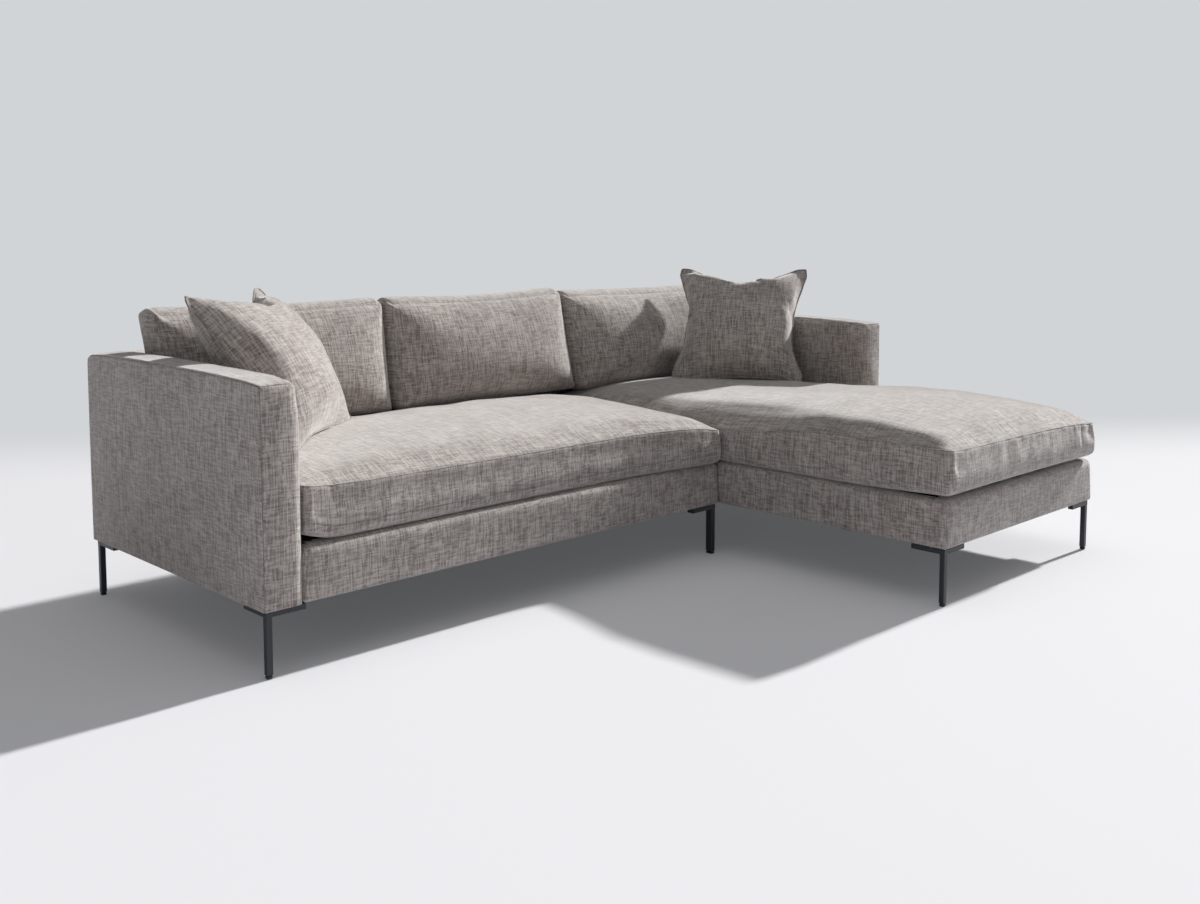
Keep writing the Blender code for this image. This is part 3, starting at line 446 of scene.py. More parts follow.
def seat_shape(low, high, crown_at, seed, stretches, fullness, plain, tuck=0.031, tuck_shade=0.8, forward=0.0):
    """The form of a seat cushion, as a function for boxed_cushion.

    The border bulges by a sine of its height, the edges at both seams are rounded, the top panel rises
    by its crown, the seams stand up as a thin ridge with a valley on each side, and the border carries a
    second, sunk seam a little above its foot. Gathers run down from the top seam and up the panel.
    forward pushes the front's right end out. A plain one has no seams or gathers, and gives its
    stitching's share instead of the seams' shade."""

    def shape(points, depth, shares, kind, way, below, above):
        x, y = points[:, 0].copy(), points[:, 1].copy()
        height = above - below
        over, under, side, panel = (1 - shares) * height, shares * height, kind == 0, kind == 1
        along = round_the_border(points, way)
        pulled_x = np.sin(np.pi * np.clip((x - low[0]) / (high[0] - low[0]), 0, 1))
        pulled_y = np.sin(np.pi * np.clip((y - low[1]) / (high[1] - low[1]), 0, 1))
        pulled = np.where(np.abs(way[:, 1]) > np.abs(way[:, 0]), pulled_x, pulled_y)
        swell = bpy.context.scene.sofa_sizes.seat_border_bulge * np.sin(np.pi * np.clip(shares, 0, 1)) ** 0.8
        points[:, :2] += way * (np.where(side, swell, 0) - 0.004 * pulled * np.exp(-depth / 0.06))[:, None]
        points = roll_edge(points, depth, kind, way, over, 0.009, 1)
        points = roll_edge(points, depth, kind, way, under, 0.019, -1)
        points[:, 1] -= forward * ease(1 - (high[0] - x) / 0.40) * ease(1 - (y - low[1]) / 0.35)
        points[:, 2] += np.where(panel, fullness * crown_at(x, y), 0)
        away = np.where(side, over, np.where(panel, depth, 1.0))
        if plain:
            return points, np.exp(-away / 0.012)
        ridge = 0.0013 * np.exp(-(away / 0.0019) ** 2) - 0.0011 * np.exp(-((away - 0.0052) / 0.0026) ** 2)
        foot = np.where(side, np.abs(under - tuck), 1.0)
        sunk = np.exp(-(foot / 0.0013) ** 2)
        creased = gathers(along, away, seed, stretches)
        soft = 0.0009 * ripple(along, under, seed + 1, 0.30, 0.06) * np.sin(np.pi * shares)
        out = np.where(side, soft + ridge - 0.0013 * tuck_shade * sunk - creased, 0.7 * ridge)
        points[:, :2] += way * out[:, None]
        dents = 0.0018 * ripple(x, y, seed + 2, 0.55, 0.14) * rise(depth, 0.10)
        points[:, 2] += np.where(panel, 0.7 * ridge - 0.8 * creased + dents, 0)
        # The darkening at the seams: painted shade in the valleys beside the top seam's ridge and, by tuck_shade, at
        # the sunk foot seam, with the stitching's line.
        return points, np.maximum(0.55 * np.exp(-((away - 0.003) / 0.002) ** 2), tuck_shade * sunk)

    return shape


def seat_crown(depth):
    """The rise of a filled panel from its edge: it rolls over in a hand's breadth, then climbs long and flat."""
    return 0.40 * rise(depth, 0.075) + 0.60 * rise(depth, 0.36)


def stand_up(points):
    """Turns a cushion made lying flat so that its top panel faces forwards and its far side is up."""
    return np.stack([points[:, 0], -points[:, 2], points[:, 1]], 1)


def blown_up(points, quads, pressure, most, held, drawn, bend):
    """Lets the filling push a closed skin out: a short cloth run with pressure and no gravity.

    held is each point's share of holding still, and drawn its share of the shrinking that the
    stitching gives the cloth. Each point's move is capped. Returns the moved points."""
    mesh = bpy.data.meshes.new("skin")
    mesh.from_pydata(points.tolist(), [], quads.tolist())
    obj, scene = put_in("skin", mesh), bpy.context.scene
    indices = np.arange(len(points))
    for name, share in (("held", held), ("drawn", drawn)):
        group = obj.vertex_groups.new(name=name)
        steps = np.round(np.clip(share, 0, 1) * 20).astype(int)
        for level in np.unique(steps[steps > 0]):
            group.add(indices[steps == level].tolist(), level / 20, "REPLACE")
    cloth = obj.modifiers.new("stuffing", "CLOTH")
    setting = cloth.settings
    setting.quality = 5
    setting.mass = 0.3
    setting.tension_stiffness = setting.compression_stiffness = setting.shear_stiffness = 15.0
    setting.bending_stiffness = bend
    setting.use_pressure = True
    setting.uniform_pressure_force = pressure
    setting.effector_weights.gravity = 0
    setting.vertex_group_mass = "held"
    setting.vertex_group_shrink = "drawn"
    setting.shrink_min, setting.shrink_max = 0.0, 0.10
    cloth.collision_settings.use_collision = False
    cloth.point_cache.frame_start, cloth.point_cache.frame_end = 1, CLOTH_FRAMES
    for step in range(1, CLOTH_FRAMES + 1):
        scene.frame_set(step)
    blown = np.empty(len(points) * 3)
    obj.evaluated_get(bpy.context.evaluated_depsgraph_get()).data.vertices.foreach_get("co", blown)
    obj.modifiers.remove(cloth)
    scene.frame_set(1)
    bpy.data.objects.remove(obj)
    bpy.data.meshes.remove(mesh)
    move = blown.reshape(-1, 3) - points
    far = np.maximum(np.linalg.norm(move, axis=1, keepdims=True), 1e-9)
    return points + move * np.minimum(1.0, most / far)


def carried(points, skin, moved, nearest=6, batch=1500):
    """Moves points with the skin they lie on: the mean move of the nearest skin points, the closer the more."""
    move = (moved - skin).astype(np.float32)
    skin = skin.astype(np.float32)
    result = np.empty_like(points)
    for start in range(0, len(points), batch):
        part = points[start:start + batch].astype(np.float32)
        square = ((part[:, None, :] - skin[None, :, :]) ** 2).sum(-1)
        close = np.argpartition(square, nearest, axis=1)[:, :nearest]
        near = np.take_along_axis(square, close, axis=1)
        weight = 1 / (near + 0.006 ** 2) ** 1.5
        weight /= weight.sum(1, keepdims=True)
        result[start:start + batch] = points[start:start + batch] + (move[close] * weight[..., None]).sum(1)
    return result


def stuffed(fine, skin_made, pressure, most, held_share, stitched, bend, kept):
    """held_share is the lowest share of the thickness, which keeps still, stitched is the seams' shrinking,
    and kept the share of the move that is taken back at the seams, less and less further away."""
    skin, quads, _, seam = skin_made
    low, high = skin[:, 2].min(), skin[:, 2].max()
    held = ease((held_share - (skin[:, 2] - low) / (high - low)) / held_share * 2)
    blown = blown_up(skin, quads, pressure, most, held, stitched * seam, bend)
    return carried(fine, skin, skin + (blown - skin) * (1 - kept * seam ** 0.3)[:, None])


def sewn_and_stuffed(node, made, steps, layers, stuffing, upright, seed):
    """Sews a cushion finely, moves it as its coarse twin moves when it is blown up, and puts it in its place.

    made gives the cushion for near offsets, a step, layers and whether it is plain."""
    points, quads, metres, seam = made(CUSHION_NEAR, steps[0], layers, False)
    points = stuffed(points, made(SKIN_NEAR, steps[1], SKIN_LAYERS, True), **stuffing)
    points = stand_up(points) if upright else points
    obj = sewn_mesh(node, points, quads, metres + 0.41 * seed, seam)
    cover_piece(obj, node)


def bench_cushion():
    """The two-seat section's one long seat cushion."""
    low, high = box_of("bench_seat_cushion")
    start, end = low + SEAT_INSET, high - SEAT_INSET
    rectangles = [(start[0], end[0], start[1], end[1])]

    def seam_low(x, y):
        """The foot seam, which lifts at the left front corner."""
        return low[2] + 0.019 * np.exp(-((x - start[0]) / 0.050) ** 2 - ((y - start[1]) / 0.10) ** 2)

    def seam_high(x, y):
        """The top seam, which lifts at the front's left end and sinks at its right end."""
        front = np.exp(-np.maximum(y - start[1], 0) / 0.30)
        lift = 0.012 * front * np.exp(-(x - start[0]) / 0.10)
        sink = 0.024 * front * np.exp(-(end[0] - x) / 0.09)
        return BENCH_SEAM + lift - sink

    def crown_at(x, y):
        crown = bpy.context.scene.sofa_sizes.bench_crown * seat_crown(x - start[0]) * seat_crown(end[0] - x)
        return crown * seat_crown(y - start[1]) * rise(end[1] - y, 0.35)

    stretches = (
        (start[0], end[0], 0.045, 0.0011, 0.030), (start[0] + 0.045, start[0] + 0.095, 0.05, 0.008, 0.040),
        (-0.45, 0.0, 0.035, 0.0014, 0.034), (end[0] - 0.10, end[0] - 0.01, 0.028, 0.0034, 0.045),
        (10 + start[1], 10 + end[1], 0.05, 0.001, 0.03), (30 + start[1], 30 + end[1], 0.05, 0.001, 0.03),
    )

    def made(near, step, layers, plain):
        lines_s, lines_t = spread(start[0], end[0], near, step), spread(start[1], end[1], near, step)
        fullness = 0.94
        shape = seat_shape(
            low, high, crown_at, seed=31, stretches=stretches, fullness=fullness, plain=plain, forward=0.028)
        return boxed_cushion(lines_s, lines_t, rectangles, BENCH_CORNER, seam_low, seam_high, layers, shape)

    sewn_and_stuffed(
        "bench_seat_cushion", made, (0.015, 0.020), SEAT_LAYERS, SEAT_STUFFING, upright=False, seed=3)


def chaise_cushion():
    """The chaise's seat cushion, which fills out to the arm's outer side in front of the arm."""
    low, high = box_of("chaise_seat_cushion")
    start, end = low + SEAT_INSET, high - SEAT_INSET
    notch_x, notch_y = (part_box("right_arm_cover")[0][k] - ARM_GAP - SEAT_INSET for k in (0, 1))
    rectangles = [(start[0], notch_x, start[1], end[1]), (start[0], end[0], start[1], notch_y)]

    def seam_low(x, y):
        """The foot seam, which lifts towards the front."""
        return low[2] + 0.012 * ease((-0.50 - y) / 0.42)

    def seam_high(x, y):
        """The top seam, which sinks at the front right corner and, beside the bench, towards the back."""
        front = np.exp(-np.maximum(y - start[1], 0) / 0.25)
        inner = np.exp(-np.maximum(x - start[0], 0) / 0.075)
        corner = 0.016 * front * np.exp(-(end[0] - x) / 0.14)
        beside_bench = 0.034 * inner * (1 - ease((-0.09 - y) / 0.36))
        return CHAISE_SEAM + 0.0065 * inner - corner - beside_bench

    def crown_at(x, y):
        gap = np.hypot(np.maximum(notch_x - x, 0), np.maximum(notch_y - y, 0))
        crown = bpy.context.scene.sofa_sizes.chaise_crown * (0.50 + 0.50 * ease((0.30 - y) / 0.75))
        crown = crown * seat_crown(x - start[0]) * seat_crown(end[0] - x) * seat_crown(y - start[1])
        return crown * rise(end[1] - y, 0.30) * rise(gap, 0.16)

    stretches = (
        (start[0], end[0], 0.040, 0.0010, 0.030), (0.62, end[0] - 0.01, 0.019, 0.0024, 0.050),
        (0.86, end[0] - 0.02, 0.026, 0.0032, 0.062), (start[0] + 0.02, 0.60, 0.035, 0.0014, 0.030),
        (30 + start[1], 30 + end[1], 0.06, 0.0009, 0.030), (10 + start[1], 10 + notch_y, 0.05, 0.0012, 0.03),
    )

    def made(near, step, layers, plain):
        # The lines lie close together at the notch too.
        lines_s, lines_t = (
            np.unique(np.round([*spread(first, notch, near, step), *spread(notch, last, near, step)], 6))
            for first, notch, last in ((start[0], notch_x, end[0]), (start[1], notch_y, end[1])))
        fullness = 0.96
        shape = seat_shape(
            low, high, crown_at, seed=41, stretches=stretches, fullness=fullness, plain=plain,
            tuck=0.010, tuck_shade=0.25)
        return boxed_cushion(lines_s, lines_t, rectangles, CHAISE_CORNER, seam_low, seam_high, layers, shape)

    sewn_and_stuffed(
        "chaise_seat_cushion", made, (0.016, 0.020), SEAT_LAYERS, SEAT_STUFFING, upright=False, seed=4)


def back_cushion(node, seed, left, right, dip, boxed_left):
    """A back cushion: made lying on its back panel, with soft rolled edges, then stood up.

    It is a wedge, thick at its foot and thin at its top. The front panel rises by its crown, highest
    in the lower half, all four of its edges are rolled over a wide round, and the top edge sinks
    between its ends. left and right are (shift of the side at the foot, lift of the top corner).
    boxed_left, from nought to one, makes the left end a crisp side with a seam that stands out over the arm."""
    low, high = box_of(node)
    start, end = low + BACK_INSET, high - BACK_INSET
    foot_line = low[2] + 0.002
    rectangles = [(start[0], end[0], foot_line, end[2])]
    fullness = 0.80
    rear, thick_foot, thick_top = -high[1], 0.160, 0.104

    def seam_low(x, z):
        return np.full(np.shape(x), rear)

    def seam_high(x, z):
        share = (z - low[2]) / (high[2] - low[2])
        return rear + thick_foot + (thick_top - thick_foot) * share

    def from_end(distance):
        """The crown's rise from the left or right end."""
        return 0.65 * rise(distance, 0.15) + 0.35 * rise(distance, 0.36)

    def shape(points, depth, shares, kind, way, below, above, plain):
        x, z = points[:, 0].copy(), points[:, 1].copy()
        share_x, share_z = (x - low[0]) / (high[0] - low[0]), (z - low[2]) / (high[2] - low[2])
        across = from_end(x - start[0]) * from_end(end[0] - x)
        from_top = 0.35 * rise(end[2] - z, 0.07) + 0.65 * rise(end[2] - z, 0.27)
        crown = bpy.context.scene.sofa_sizes.back_crown
        crown = fullness * crown * across * rise(z - low[2], 0.11) * from_top
        height = above - below
        points[:, :2] += way * (0.006 * np.sin(np.pi * shares) * (kind == 0))[:, None]
        up = ease((way[:, 1] - 0.3) / 0.5)
        left_side = boxed_left * ease((-way[:, 0] - 0.3) / 0.5)
        radius = (0.040 + 0.012 * up - 0.012 * ease((-way[:, 1] - 0.3) / 0.5)) * (1 - 0.75 * left_side)
        points = roll_edge(points, depth, kind, way, (1 - shares) * height, radius, 1)
        points = roll_edge(points, depth, kind, way, shares * height, 0.026 + 0.020 * up, -1)
        dents = 0.0014 * ripple(x, z, seed, 0.70, 0.22) * rise(depth, 0.07)
        points[:, 2] += np.where(kind == 1, crown + dents, 0)
        sag = dip * np.sin(np.pi * np.clip(share_x, 0, 1)) ** 1.5
        points[:, 1] += (left[1] * (1 - share_x) ** 4 + right[1] * share_x ** 4 - sag) * ease((share_z - 0.35) / 0.65)
        foot = (1 - np.clip(share_z, 0, 1)) - 0.5
        points[:, 0] += 2 * foot * (left[0] * (1 - share_x) ** 2 + right[0] * share_x ** 2)
        points[:, 0] -= 0.018 * boxed_left * (1 - np.clip(share_x, 0, 1)) ** 6 * ease((share_z - 0.58) / 0.42)
        away = np.where(kind == 0, (1 - shares) * height, np.where(kind == 1, depth, 1.0))
        if plain:
            return points, np.exp(-away / 0.02)
        along = round_the_border(np.stack([x, z], 1), way)
        creased = gathers(along, away, seed + 3, ((30.60, 30.78, 0.020, 0.0022, 0.07),))
        points[:, 2] -= np.where(kind == 1, left_side * creased, 0)
        # The darkening along the boxed left end's seam is painted shade, with the stitching's line.
        return points, 0.9 * left_side * np.exp(-(away / 0.0022) ** 2)

    def made(near, step, layers, plain):
        lines_s, lines_t = spread(start[0], end[0], near, step), spread(foot_line, end[2], near, step)
        form = functools.partial(shape, plain=plain)
        return boxed_cushion(lines_s, lines_t, rectangles, BACK_CORNER, seam_low, seam_high, layers, form)

    sewn_and_stuffed(node, made, (0.011, 0.016), BACK_LAYERS, BACK_STUFFING, upright=True, seed=seed)


# Pillows


def blown_pillow(u, v, rim, quads, edge_share, half, seed):
    """The points of a pillow: its front grid, then its back grid without the rim, blown up as cloth."""

    def both_panels(x, y, z):
        return np.concatenate([np.stack([x, y, z], -1).reshape(-1, 3), np.stack([x, y, -z], -1)[~rim]])

    unevenness = 1 + 0.03 * ripple(u, v, seed, 1.2, 0.5)
    depth = 0.085 * np.sqrt((1 - u ** 2) * (1 - v ** 2)) ** 1.2 * unevenness
    drawn_u, drawn_v = 1 - 0.035 * (1 - v ** 2) * u ** 2, 1 - 0.035 * (1 - u ** 2) * v ** 2
    start = both_panels(half * drawn_u * u, half * drawn_v * v, depth)
    sewn = np.exp(-(1 - edge_share) / 0.06)
    free = np.zeros(len(start))
    points = blown_up(start, quads, pressure=4.0, most=0.05, held=free, drawn=0.35 * sewn, bend=3.0)
    points -= points[rim.reshape(-1).nonzero()[0]].mean(0)
    side = len(u)
    corners = points[[0, (side - 1) * side, side * side - 1, side - 1], :2]
    span = np.mean([np.linalg.norm(corners[k] - corners[k - 1]) for k in range(4)])
    points[:, :2] *= 2 * half / span
    return points


def smooth_where_pressed(points, u, v, around, panels, upper_ear):
    """Smooths the rim and panels where the seat presses them, and by a share at the upper right ear."""
    low_rim = ease((-v.reshape(-1)[around] - 0.10) / 0.40)[:, None]
    for _ in range(16):
        line = points[around]
        points[around] += 0.5 * low_rim * ((np.roll(line, -1, 0) + np.roll(line, 1, 0)) / 2 - line)
    pressed = np.maximum(ease((np.abs(u) - 0.10) / 0.35) * ease(-v / 0.40), ease((-v - 0.55) / 0.25))
    pressed = pressed + upper_ear * ease((u - 0.45) / 0.30) * ease((v - 0.45) / 0.30)
    pressed = pressed[1:-1, 1:-1, None]
    for panel in panels:
        for _ in range(60):
            grid = points[panel]
            mean = (grid[:-2, 1:-1] + grid[2:, 1:-1] + grid[1:-1, :-2] + grid[1:-1, 2:]) / 4
            points[panel[1:-1, 1:-1]] += 0.7 * pressed * (mean - grid[1:-1, 1:-1])


def cord_round(line, radius, sides=8):
    """A round cord that follows a closed line, as a ring of circles: its points, faces and UV places."""
    ahead = np.roll(line, -1, 0) - np.roll(line, 1, 0)
    ahead /= np.linalg.norm(ahead, axis=1, keepdims=True)
    normal = np.cross(ahead, np.array([0.0, 0.0, 1.0]))
    normal /= np.linalg.norm(normal, axis=1, keepdims=True)
    up = np.cross(normal, ahead)
    angle = 2 * np.pi * np.arange(sides) / sides
    spokes = np.cos(angle)[:, None] * normal[:, None] + np.sin(angle)[:, None] * up[:, None]
    here = (np.arange(len(line)) * sides)[:, None] + np.arange(sides)[None, :]
    after = np.roll(here, -1, 0)
    faces = np.stack([here, np.roll(here, -1, 1), np.roll(after, -1, 1), after], -1).reshape(-1, 4)
    run = np.cumsum(np.linalg.norm(np.roll(line, -1, 0) - line, axis=1))
    places = np.stack([np.repeat(run, sides), np.tile(angle, len(line)) * 0.003], -1)
    return (line[:, None] + radius * spokes).reshape(-1, 3), faces, places[faces]


def pillow(node, centre, yaw, tilt, seed, dip_at, blunt, folds):
    """A square pillow: two flat panels sewn together, blown up as cloth, with a piping round its edge.

    The blown panels are scaled to the front and back crown. The top edge is then pressed into a wide
    V at dip_at, blunt draws the corners in, and folds are grooves given as (u, v, to u, to v, depth,
    width) in half sides. The lower corners, which the seat presses flat, are smoothed."""
    sizes = bpy.context.scene.sofa_sizes
    half, cells = sizes.pillow_side / 2, 48
    edge = np.sin(0.5 * np.pi * np.linspace(-1, 1, cells + 1)) * 0.35 + np.linspace(-1, 1, cells + 1) * 0.65
    u, v = np.meshgrid(edge, edge, indexing="ij")
    index = np.arange(u.size).reshape(u.shape)
    rim = np.zeros(u.shape, bool)
    rim[0], rim[-1], rim[:, 0], rim[:, -1] = True, True, True, True
    behind = np.full(u.shape, -1)
    behind[~rim] = u.size + np.arange((~rim).sum())
    behind[rim] = index[rim]
    quads_front = grid_cells(index).reshape(-1, 4)
    quads_back = grid_cells(behind).reshape(-1, 4)[:, [0, 3, 2, 1]]
    quads = np.concatenate([quads_front, quads_back])
    flat_u, flat_v = (np.concatenate([grid.reshape(-1), grid[~rim]]) for grid in (u, v))
    edge_share = np.maximum(np.abs(flat_u), np.abs(flat_v))
    around = np.concatenate([index[:-1, 0], index[-1, :-1], index[:0:-1, -1], index[0, :0:-1]])
    points = blown_pillow(u, v, rim, quads, edge_share, half, seed)
    smooth_where_pressed(points, u, v, around, (index, behind), min(blunt / 0.045, 1))
    # The corners drawn in, the foot's sag between them, and the crowns.
    points[:, :2] *= (1 - blunt * np.abs(flat_u * flat_v) ** 8)[:, None]
    points[:, 1] -= 0.022 * (1 - flat_u ** 2) * np.maximum(-flat_v, 0) ** 3 + 0.010 * np.maximum(-flat_v, 0) ** 2
    front, back = points[:, 2].max(), -points[:, 2].min()
    points[:, 2] *= np.where(points[:, 2] > 0, sizes.pillow_front / front, sizes.pillow_back / back)
    # The V of the top edge, and the hollow that runs down from it on both panels.
    valley = np.clip(1 - np.sqrt((flat_u - dip_at) ** 2 + 0.008) + 0.09, 0, 1) ** 1.3
    points[:, 1] -= 0.040 * valley * ease((flat_v + 0.35) / 1.35)
    hollow = 0.010 * np.exp(-((flat_u - dip_at) / 0.16) ** 2) * ease((flat_v - 0.2) / 0.6)
    points[:, 2] -= np.sign(points[:, 2]) * hollow * (np.abs(points[:, 2]) > 0.004)
    facing = np.concatenate([np.ones(u.size), -np.ones(int((~rim).sum()))])
    for u0, v0, u1, v1, deepest, width in folds:
        way = np.array([u1 - u0, v1 - v0])
        length = np.linalg.norm(way)
        way /= length
        run = (flat_u - u0) * way[0] + (flat_v - v0) * way[1]
        beside = -(flat_u - u0) * way[1] + (flat_v - v0) * way[0]
        strength = ease(run / length * 4 + 0.5) * ease((1.15 - run / length) * 2.5)
        groove = np.exp(-(beside / width) ** 2) - 0.45 * np.exp(-((beside - 1.9 * width) / (1.2 * width)) ** 2)
        points[:, 2] -= (facing > 0) * deepest * strength * groove * (1 - edge_share ** 8)
    flat = half * np.stack([flat_u, flat_v], -1)
    cord_points, cord, cord_places = cord_round(points[around], sizes.piping)
    metres = np.concatenate([flat[quads_front], flat[quads_back] + 0.6, cord_places])
    # The darkening near the edge and over the piping is painted shade at the sewn edge, with the stitching's line.
    seam = np.concatenate([0.55 * np.exp(-(1 - edge_share) / 0.014), np.full(len(cord_points), 0.35)])
    quads = np.concatenate([quads, cord + len(points)])
    points = np.concatenate([points, cord_points])
    leaning = Matrix.Rotation(math.radians(90 - tilt), 4, "X")
    placed = np.array(Matrix.Translation(centre) @ Matrix.Rotation(math.radians(yaw), 4, "Z") @ leaning)
    points = points @ placed[:3, :3].T + placed[:3, 3]
    obj = sewn_mesh(node, points, quads, metres + 0.43 * seed, seam)
    cover_piece(obj, node)


# Finishes


# Real yarns are about 1 mm thick with slubs of 10 to 30 mm. They are drawn this thick to show from 3 m.
YARN = 0.0031


def place_in(tree):
    """The place on the object, in metres."""
    return add(tree, "ShaderNodeTexCoord").outputs["Object"]


def raised(tree, shader, height, strength, metres):
    """Lets a finish rise and fall with a value, by so many metres."""
    bump = add(tree, "ShaderNodeBump", {"Strength": strength, "Distance": metres, "Height": height})
    tree.links.new(bump.outputs["Normal"], shader.inputs["Normal"])


def textured(tree, shader, pattern, share, dark, light, strength, metres):
    """Colours a finish between dark and light by a share, and raises it by its pattern."""
    tree.links.new(blended(tree, share, linear(dark), linear(light)), shader.inputs["Base Color"])
    raised(tree, shader, pattern, strength, metres)


def slubs(tree, uv, across, along, shift):
    """Soft streaks in the cloth's plane, across by along metres in size, as a value of about 0.35 to 0.65."""
    stretched = {"Location": (shift, shift, 0), "Scale": (1 / across, 1 / along, 1), "Vector": uv}
    streaks = {"Scale": 1, "Detail": 0.6, "Vector": add(tree, "ShaderNodeMapping", stretched).outputs[0]}
    return add(tree, "ShaderNodeTexNoise", streaks, noise_dimensions="2D").outputs["Fac"]


def threads(tree, uv, along, turned):
    """A value from nought to one for each piece of each thread.

    The cloth's plane is cut into threads as wide as a yarn, and each thread into pieces as long as
    along, which start at a different place in every thread. turned lays them the other way."""
    parts = add(tree, "ShaderNodeSeparateXYZ", {0: uv}).outputs
    beside, ahead = (parts[1], parts[0]) if turned else (parts[0], parts[1])
    number = reckon(tree, "FLOOR", reckon(tree, "MULTIPLY", beside, 1 / YARN))
    start = add(tree, "ShaderNodeTexWhiteNoise", {"W": number}, noise_dimensions="1D").outputs["Value"]
    piece = reckon(tree, "FLOOR", reckon(tree, "ADD", reckon(tree, "MULTIPLY", ahead, 1 / along), start))
    cell = add(tree, "ShaderNodeCombineXYZ", {0: number, 1: piece, 2: 3.0 if turned else 8.0}).outputs[0]
    return add(tree, "ShaderNodeTexWhiteNoise", {"Vector": cell}, noise_dimensions="3D").outputs["Value"]


def linen_look_fabric():
    """A matt polyester tweed woven like linen: short light, dark and brownish slubs run both ways.

    The eye reads cloth from the crossed threads, each piece a little lighter or darker than the next,
    and the soft light at grazing angles, which is the fuzz of its yarn."""
    cloth = bpy.context.scene.sofa_cloth
    material, tree, shader = new_finish(
        "linen_look_fabric", Roughness=0.95, Sheen_Weight=cloth.fuzz, Sheen_Roughness=0.45)
    uv = add(tree, "ShaderNodeUVMap", uv_map=CLOTH_UV).outputs["UV"]
    soft_warp, soft_weft = slubs(tree, uv, YARN, 0.022, 0), slubs(tree, uv, 0.018, YARN, 5)
    ways = []
    for soft, piece, turned, dark in ((soft_warp, 0.030, False, cloth.dark), (soft_weft, 0.025, True, cloth.brown)):
        share = add(tree, "ShaderNodeMix", {0: 0.78, 2: soft, 3: threads(tree, uv, piece, turned)}).outputs[0]
        share = mapped(tree, share, 0.14, 0.86)
        ways.append(blended(tree, share, list(dark) + [1], list(cloth.light) + [1]))
    # Hands' breadths of the cloth are a little lighter and darker, and the seams are darkened with painted shade and
    # the stitching's line.
    mottle = mapped(tree, slubs(tree, uv, 0.12, 0.12, 21), 0.3, 0.7, 0.95, 1.05)
    seam = add(tree, "ShaderNodeAttribute", attribute_name=SEAM_SHADE).outputs["Fac"]
    tone = reckon(tree, "MULTIPLY", mottle, mapped(tree, seam, 0.0, 1.0, 1.0, 0.50))
    shaded = blended(tree, 1.0, blended(tree, 0.5, *ways), tone, blend_type="MULTIPLY")
    tree.links.new(shaded, shader.inputs["Base Color"])
    raised(tree, shader, reckon(tree, "ADD", soft_warp, soft_weft), 0.35, 0.0009)
    return material


def speckled(tree, shader, coords, cell, dark, light, height, detail=2):
    """Mottles a finish between two colours by noise of one cell size in metres, and raises it by a height."""
    noise = add(tree, "ShaderNodeTexNoise", {"Scale": 1 / cell, "Detail": detail, "Vector": coords}).outputs["Fac"]
    textured(tree, shader, noise, mapped(tree, noise, 0.3, 0.7), dark, light, 0.5, height)


def speckled_finish(name, cell, dark, light, height, **values):
    """A finish that is mottled and raised by one noise on Object coordinates."""
    material, tree, shader = new_finish(name, **values)
    speckled(tree, shader, place_in(tree), cell, dark, light, height)
    return material


def sawn_pine(name, along):
    """Rough sawn softwood: pale yellow with darker growth lines that run the length of the board, along x, y or z.

    The eye reads it from the long straight grain, 4 mm apart, and the dull, slightly furry face."""
    material, tree, shader = new_finish(name, Roughness=0.75)
    scale = [250.0, 250.0, 250.0]
    scale[along] = 4.0
    mapping = add(tree, "ShaderNodeMapping", {"Scale": scale, "Vector": place_in(tree)}).outputs[0]
    speckled(tree, shader, mapping, 1.0, "#b98f5a", "#e2c796", 0.0003, detail=3)
    return material


def woven_webbing():
    """Elastic upholstery webbing: a dense brown plain weave of 3 mm cells, two shades apart."""
    material, tree, shader = new_finish("woven_webbing", Roughness=0.85)
    cells = add(tree, "ShaderNodeTexChecker", {"Scale": 1 / 0.003, "Vector": place_in(tree)}).outputs["Fac"]
    textured(tree, shader, cells, cells, "#836f59", "#9b876f", 0.4, 0.0005)
    return material


def black_spunbond():
    """Spunbond polypropylene: a thin black felt with the 2.5 mm dimples of its hot roller."""
    material, tree, shader = new_finish("black_spunbond", Roughness=0.9)
    cells = {"Scale": 1 / 0.0025, "Vector": place_in(tree)}
    dimples = add(tree, "ShaderNodeTexVoronoi", cells).outputs["Distance"]
    textured(tree, shader, dimples, dimples, "#111112", "#242425", 0.4, 0.0003)
    return material


# Settings


